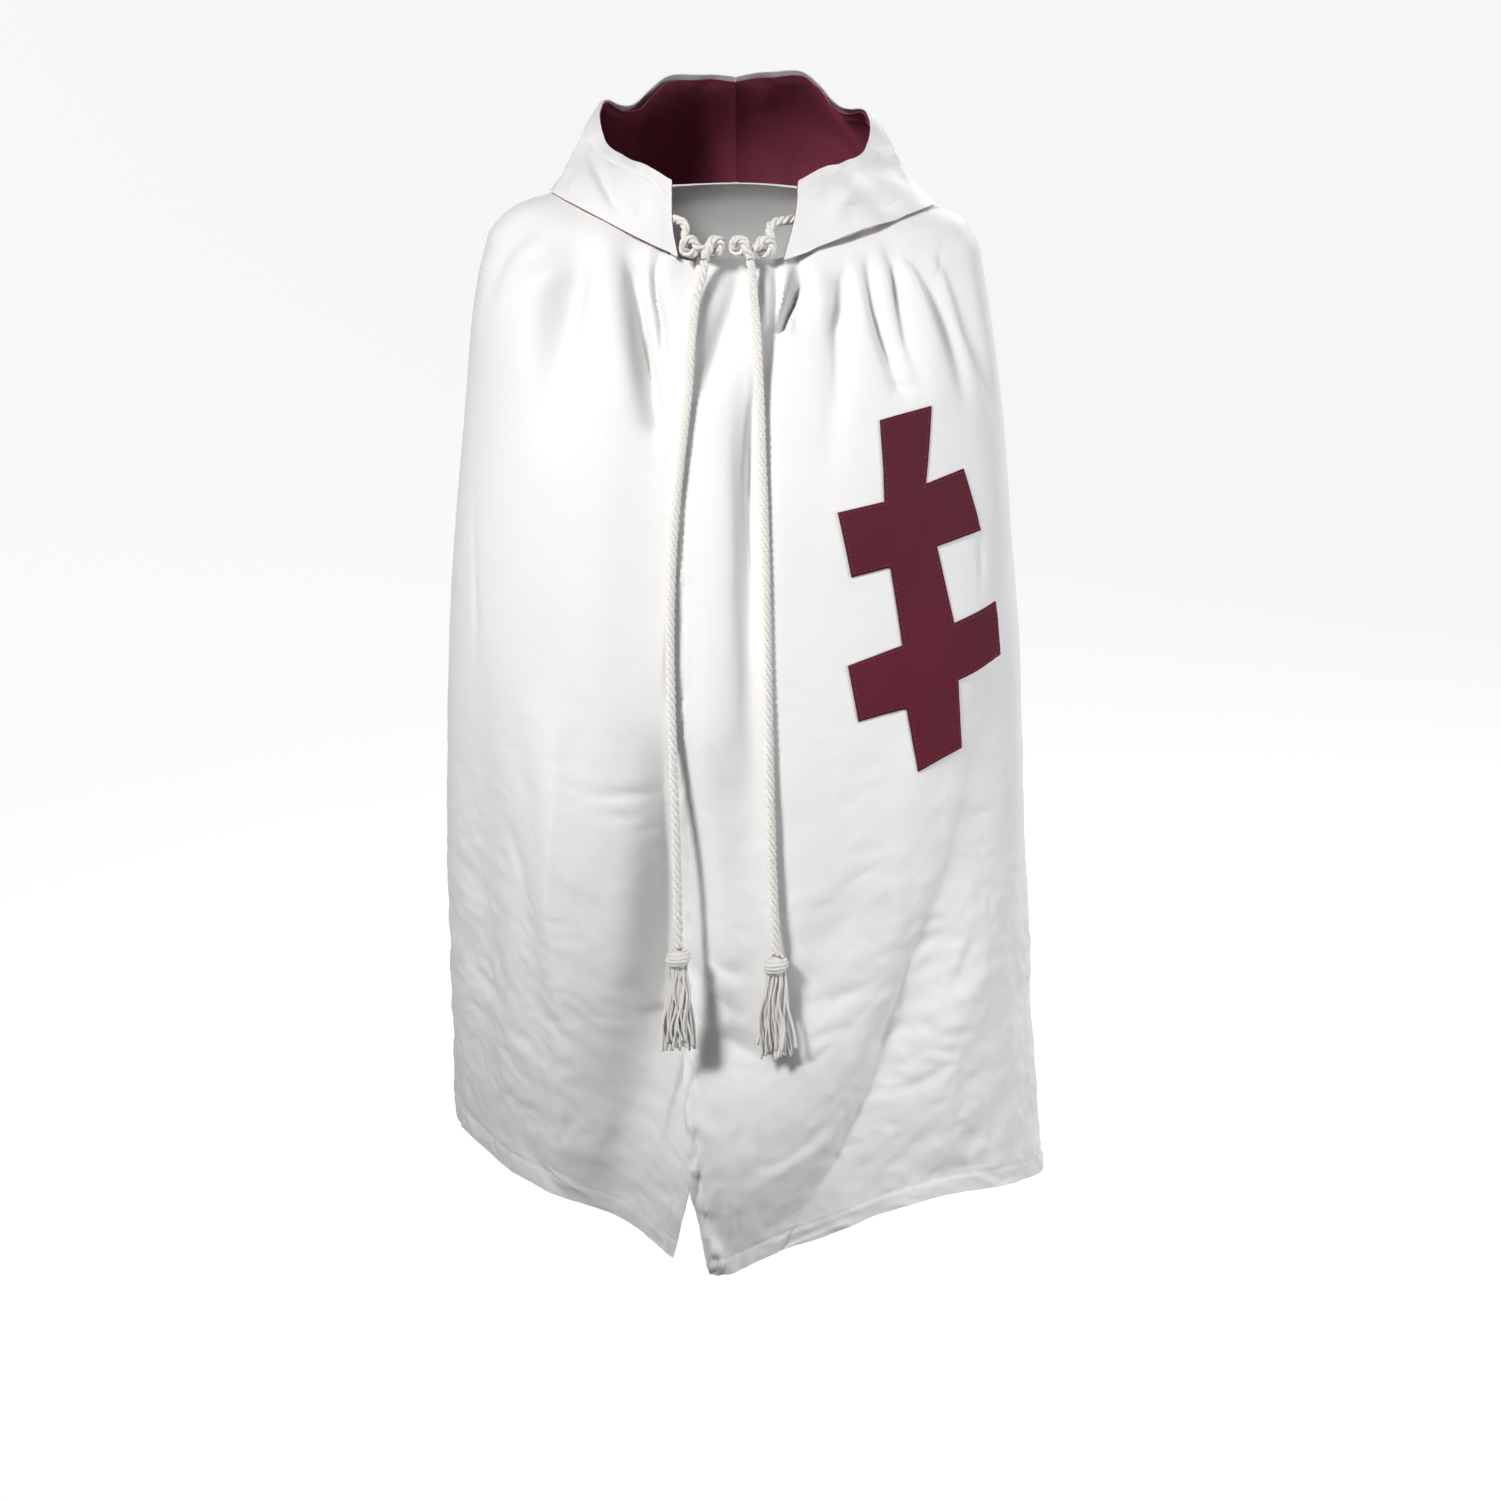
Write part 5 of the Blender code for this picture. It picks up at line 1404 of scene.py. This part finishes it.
def stage_finish(name):
    """Plain pale studio paper."""
    stage = bpy.context.scene.mantle_stage
    finish = Finish(name)
    place = finish.node("ShaderNodeNewGeometry", None, None, "Position")
    cloudy = finish.grain(place, PAPER_CLOUDS)
    darker = solid(stage.colour, PAPER_CLOUD_LEVEL * PAPER_SHARE)
    finish.feed(finish.shader, {
        "Base Color": finish.mix(cloudy, darker, solid(stage.colour, PAPER_SHARE)),
        "Roughness": 0.9,
        "Specular IOR Level": 0.1,
        "Emission Color": solid(stage.colour),
        "Emission Strength": stage.glow,
    })
    return finish.material


def material(name, make, *facts):
    """A finish by name, made once."""
    return bpy.data.materials.get(name) or make(name, *facts)


class MANTLE_PG_cloth(bpy.types.PropertyGroup):
    """White cloth of the fronts, backs and hood."""

    wall: FloatProperty(name="Cloth", description="Thickness of the cloth", default=0.0012, unit="LENGTH")
    hem: FloatProperty(name="Hem", description="Width of the turned hem", default=0.018, unit="LENGTH")
    weave: FloatProperty(name="Weave", description="Distance between threads", default=0.0011, unit="LENGTH")
    colour: FloatVectorProperty(
        name="Colour", description="Colour of the white cloth", default=(0.80, 0.795, 0.79), subtype="COLOR")


class MANTLE_PG_lining(bpy.types.PropertyGroup):
    """Satin lining of the hood."""

    face: FloatProperty(
        name="Face", description="Distance between satin lines", default=0.0009, unit="LENGTH")
    colour: FloatVectorProperty(
        name="Colour", description="Colour of the lining", default=(0.245, 0.046, 0.080), subtype="COLOR")


class MANTLE_PG_cross(bpy.types.PropertyGroup):
    """Applique cross."""

    weave: FloatProperty(name="Weave", description="Distance between threads", default=0.0013, unit="LENGTH")
    # Greyer, paler colour at the cross's top: a painted wash of light, fading into the lower colour
    painted_light_top_colour: FloatVectorProperty(
        name="Upper colour", description="Colour of the cross at its top", default=(0.092, 0.015, 0.026),
        subtype="COLOR")
    lower_colour: FloatVectorProperty(
        name="Lower colour", description="Colour of the cross at its foot", default=(0.112, 0.011, 0.026),
        subtype="COLOR")


class MANTLE_PG_rope(bpy.types.PropertyGroup):
    """Rope tie and its tassels."""

    diameter: FloatProperty(name="Diameter", description="Width of the rope", default=0.009, unit="LENGTH")
    lay: FloatProperty(name="Lay", description="Length of a strand's turn", default=0.024, unit="LENGTH")
    tassel_cords: IntProperty(name="Tassel cords", description="Cords in each tassel's skirt", default=46)
    colour: FloatVectorProperty(
        name="Colour", description="Colour of the rope", default=(0.80, 0.785, 0.745), subtype="COLOR")


class MANTLE_PG_stage(bpy.types.PropertyGroup):
    """Studio round the mantle."""

    colour: FloatVectorProperty(
        name="Paper", description="Colour of floor and wall", default=(0.86, 0.86, 0.86), subtype="COLOR")
    key: FloatProperty(name="Key light", description="Power of the key light", default=5.4, unit="POWER")
    spread: FloatProperty(
        name="Key spread", description="Width of the key light's beam", default=math.radians(22),
        subtype="ANGLE")
    side: FloatProperty(name="Side light", description="Power of the side light", default=44.0, unit="POWER")
    back: FloatProperty(name="Back light", description="Power of the back light", default=90.0, unit="POWER")
    fill: FloatProperty(name="Fill light", description="Strength of the light all round", default=0.16)
    glow: FloatProperty(name="Paper glow", description="Light given by the paper itself", default=1.0)


class MANTLE_OT_stage(bpy.types.Operator):
    """Adds the camera, the floor and the studio light"""

    bl_idname = "mantle.stage"
    bl_label = "Studio"
    bl_options = {"REGISTER", "UNDO"}

    def execute(self, context):
        add_camera(context)
        add_floor()
        add_lights(context)
        return {"FINISHED"}


def add_camera(context):
    data = bpy.data.cameras.new("photo_camera")
    data.sensor_width = PHOTO_WIDTH
    data.lens = LENS
    camera = bpy.data.objects.new("photo_camera", data)
    camera.location = CAMERA_PLACE
    camera.rotation_euler = (math.radians(90 - CAMERA_TILT), 0, 0)
    context.scene.collection.objects.link(camera)
    context.scene.camera = camera


def add_floor():
    """Floor that sweeps up into a round wall; its light doesn't reach the cloth."""
    sweep = np.linspace(0, np.pi / 2, SWEEP_RINGS)[1:]
    level = np.append(np.linspace(FLOOR_CENTRE, FLOOR_RADIUS, FLOOR_RINGS),
                      FLOOR_RADIUS + SWEEP_RADIUS * np.sin(sweep))
    height = np.append(np.full(FLOOR_RINGS, FLOOR_HEIGHT),
                       FLOOR_HEIGHT + SWEEP_RADIUS * (1 - np.cos(sweep)))
    level = np.append(level, level[-1])
    height = np.append(height, WALL_HEIGHT)
    turn = np.linspace(0, 2 * np.pi, WALL_SIDES + 1)
    points = np.stack([level[:, None] * np.sin(turn), level[:, None] * np.cos(turn),
                       np.repeat(height[:, None], len(turn), 1)], -1)
    mesh = make_mesh("studio_floor", points, grid_faces(*points.shape[:2]), points)
    floor = bpy.data.objects.new("studio_floor", mesh)
    mesh.materials.append(material("studio_paper", stage_finish))
    floor.visible_diffuse = False
    floor.visible_shadow = False
    bpy.context.scene.collection.objects.link(floor)


def add_lamp(lamp, power, spread):
    """A square area light that faces its target."""
    data = bpy.data.lights.new(lamp.name + "_light", "AREA")
    data.shape = "RECTANGLE"
    data.size = lamp.size
    data.size_y = lamp.size
    data.energy = power
    data.color = lamp.colour
    data.spread = spread
    light = bpy.data.objects.new(data.name, data)
    light.location = lamp.place
    light.rotation_euler = (Vector(lamp.target) - Vector(lamp.place)).to_track_quat("-Z", "Y").to_euler()
    bpy.context.scene.collection.objects.link(light)


def add_lights(context):
    """Key, side and back light, and an even fill from all round."""
    stage = context.scene.mantle_stage
    for lamp in LAMPS:
        add_lamp(lamp, getattr(stage, lamp.name), stage.spread if lamp.name == "key" else math.pi)
    world = bpy.data.worlds.new("studio_world")
    world.use_nodes = True
    back = world.node_tree.nodes["Background"]
    back.inputs["Color"].default_value = FILL_COLOUR
    back.inputs["Strength"].default_value = stage.fill
    context.scene.world = world
    context.scene.view_settings.view_transform = "Standard"


class MANTLE_OT_tassels(bpy.types.Operator):
    """Adds a tassel at each rope's end"""

    bl_idname = "mantle.tassels"
    bl_label = "Tassels"
    bl_options = {"REGISTER", "UNDO"}

    def execute(self, context):
        count = context.scene.mantle_rope.tassel_cords
        finish = material("tassel_yarn", rope_finish, TASSEL_YARN)
        for side in SIDES:
            mesh = tassel_mesh("tassel_cords_" + side.name, side.route[-1], count)
            add_piece(mesh, finish, ["tassel_" + side.name])
        return {"FINISHED"}


class MANTLE_OT_ropes(bpy.types.Operator):
    """Adds both hanging ropes, which end in their tassels"""

    bl_idname = "mantle.ropes"
    bl_label = "Ropes"
    bl_options = {"REGISTER", "UNDO"}

    def execute(self, context):
        rope = context.scene.mantle_rope
        finish = material("laid_cord", rope_finish, LAID_CORD)
        for side in SIDES:
            path = smooth_route(side.route, ROPE_RING_STEP)
            mesh = rope_mesh("laid_rope_" + side.name, path, rope)
            item = add_piece(mesh, finish, ["rope_" + side.name])
        return {"FINISHED"}


class MANTLE_OT_tie(bpy.types.Operator):
    """Adds the looped tie at the neck"""

    bl_idname = "mantle.tie"
    bl_label = "Tie"
    bl_options = {"REGISTER", "UNDO"}

    def execute(self, context):
        rope = context.scene.mantle_rope
        finish = material("laid_cord", rope_finish, LAID_CORD)
        for side in SIDES:
            path = smooth_route(tie_route(side.sign), ROPE_RING_STEP)
            mesh = rope_mesh("tie_loops_" + side.name, path, rope)
            add_piece(mesh, finish, ["tie_knot_" + side.name])
        return {"FINISHED"}


class MANTLE_OT_panels(bpy.types.Operator):
    """Adds both fronts and both halves of the back"""

    bl_idname = "mantle.panels"
    bl_label = "Fronts and back"
    bl_options = {"REGISTER", "UNDO"}

    def execute(self, context):
        wall = context.scene.mantle_cloth.wall
        finish = material("plain_weave", white_cloth_finish)
        for panel in PANELS:
            angle, fall = panel_places(panel)
            points = panel_points(panel, angle, fall)
            mesh = shell_mesh(panel.name + "_cloth", points, cloth_map(angle, fall), wall)
            add_piece(mesh, finish, [panel.name])
        return {"FINISHED"}


class MANTLE_OT_hood(bpy.types.Operator):
    """Adds both halves of the hood and their lining"""

    bl_idname = "mantle.hood"
    bl_label = "Hood and lining"
    bl_options = {"REGISTER", "UNDO"}

    def execute(self, context):
        wall = context.scene.mantle_cloth.wall
        cloth = material("plain_weave", white_cloth_finish)
        satin = material("lining_satin", lining_finish)
        for side in SIDES:
            points, _, places, lining = hood_surface(side.sign)
            mesh = shell_mesh("hood_cloth_" + side.name, points, places, wall)
            add_piece(mesh, cloth, ["hood_" + side.name])
            rows = slice(LINING_SHORT, None)
            mesh = shell_mesh("hood_satin_" + side.name, lining[rows], places[rows], LINING_WALL)
            add_piece(mesh, satin, ["hood_lining_" + side.name])
        return {"FINISHED"}


def cross_patches():
    """Four-cornered patches of the cross: its shaft between all lines, its bars between two pairs."""
    patches = []
    for upper, lower in zip(CROSS_LINES, CROSS_LINES[1:]):
        patches.append((upper.shaft_left, upper.shaft_right, lower.shaft_left, lower.shaft_right))
    for upper, lower in ((CROSS_LINES[1], CROSS_LINES[2]), (CROSS_LINES[3], CROSS_LINES[4])):
        patches.append((upper.left, upper.shaft_left, lower.left, lower.shaft_left))
        patches.append((upper.shaft_right, upper.right, lower.shaft_right, lower.right))
    return patches


def cross_outline():
    """Corners round the cross, down its right side and up its left."""
    left = []
    right = []
    for line in CROSS_LINES:
        left.append([line.shaft_left, line.left] if line.left else [line.shaft_left])
        right.append([line.shaft_right, line.right] if line.right else [line.shaft_right])
    corners = []
    for index, run in enumerate(right):
        corners += run if index % 2 else run[::-1]
    for index, run in reversed(list(enumerate(left))):
        corners += run[::-1] if index % 2 else run
    return corners


class MANTLE_OT_cross(bpy.types.Operator):
    """Adds the applique cross on the left front"""

    bl_idname = "mantle.cross"
    bl_label = "Cross"
    bl_options = {"REGISTER", "UNDO"}

    def execute(self, context):
        shares = np.linspace(0, 1, CROSS_CELLS + 1)
        across, down = np.meshgrid(shares, shares)
        parts = []
        for corners in cross_patches():
            first, second, third, fourth = (np.array(corner) for corner in corners)
            upper = first + (second - first) * across[..., None]
            lower = third + (fourth - third) * across[..., None]
            angle, fall = np.moveaxis(upper + (lower - upper) * down[..., None], -1, 0)
            points, _ = over_panel(CROSS_PANEL, angle, fall, CROSS_LIFT)
            marks = np.zeros(points.shape)
            marks[..., :2] = cloth_map(angle, fall)
            parts.append((points, grid_faces(*angle.shape).tolist(), marks))
        mesh = joined_mesh("cross_applique", parts)
        shape = bmesh.new()
        shape.from_mesh(mesh)
        bmesh.ops.remove_doubles(shape, verts=shape.verts, dist=CROSS_WELD)
        shape.to_mesh(mesh)
        shape.free()
        finish = material("applique_cotton", applique_finish)
        item = add_piece(mesh, finish, ["cross"])
        add_wall(item, CROSS_WALL)
        return {"FINISHED"}


class MANTLE_OT_stitches(bpy.types.Operator):
    """Adds the stitches of the hems, the free edges, the hood's mouth and the cross"""

    bl_idname = "mantle.stitches"
    bl_label = "Stitches"
    bl_options = {"REGISTER", "UNDO"}

    def execute(self, context):
        lines = [hem_line(panel) for panel in PANELS]
        lines += [edge_line(panel) for panel in PANELS if panel.edge]
        lines += [mouth_line(side.sign) for side in SIDES]
        mesh = joined_mesh("white_stitches", [stitch_part(*line) for line in lines])
        thread = material("white_thread", thread_finish, context.scene.mantle_cloth.colour)
        add_piece(mesh, thread)
        mesh = joined_mesh("maroon_stitches", [stitch_part(*line) for line in cross_lines()])
        thread = material("maroon_thread", thread_finish, context.scene.mantle_cross.lower_colour)
        add_piece(mesh, thread)
        return {"FINISHED"}


class VIEW3D_PT_mantle(bpy.types.Panel):
    """Lists the mantle's pieces and their sizes and colours"""

    bl_label = "Mantle"
    bl_idname = "VIEW3D_PT_mantle"
    bl_space_type = "VIEW_3D"
    bl_region_type = "UI"
    bl_category = "Mantle"

    def draw(self, context):
        for operator in OPERATORS:
            self.layout.operator(operator.bl_idname)
        for name, group in SETTINGS.items():
            box = self.layout.box()
            box.label(text=group.__doc__)
            for field in group.__annotations__:
                box.prop(getattr(context.scene, name), field)


SETTINGS = {
    "mantle_cloth": MANTLE_PG_cloth,
    "mantle_lining": MANTLE_PG_lining,
    "mantle_cross": MANTLE_PG_cross,
    "mantle_rope": MANTLE_PG_rope,
    "mantle_stage": MANTLE_PG_stage,
}
OPERATORS = [
    MANTLE_OT_stage,
    MANTLE_OT_tassels,
    MANTLE_OT_ropes,
    MANTLE_OT_tie,
    MANTLE_OT_panels,
    MANTLE_OT_hood,
    MANTLE_OT_cross,
    MANTLE_OT_stitches,
]


def register():
    for kind in (*SETTINGS.values(), *OPERATORS, VIEW3D_PT_mantle):
        bpy.utils.register_class(kind)
    for name, group in SETTINGS.items():
        setattr(bpy.types.Scene, name, PointerProperty(type=group))


def unregister():
    for name in SETTINGS:
        delattr(bpy.types.Scene, name)
    for kind in reversed((*SETTINGS.values(), *OPERATORS, VIEW3D_PT_mantle)):
        bpy.utils.unregister_class(kind)


def main():
    register()
    bpy.ops.mantle.stage()
    bpy.ops.mantle.tassels()
    bpy.ops.mantle.ropes()
    bpy.ops.mantle.tie()
    bpy.ops.mantle.panels()
    bpy.ops.mantle.hood()
    bpy.ops.mantle.cross()
    bpy.ops.mantle.stitches()
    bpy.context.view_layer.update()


if __name__ == "__main__":
    main()
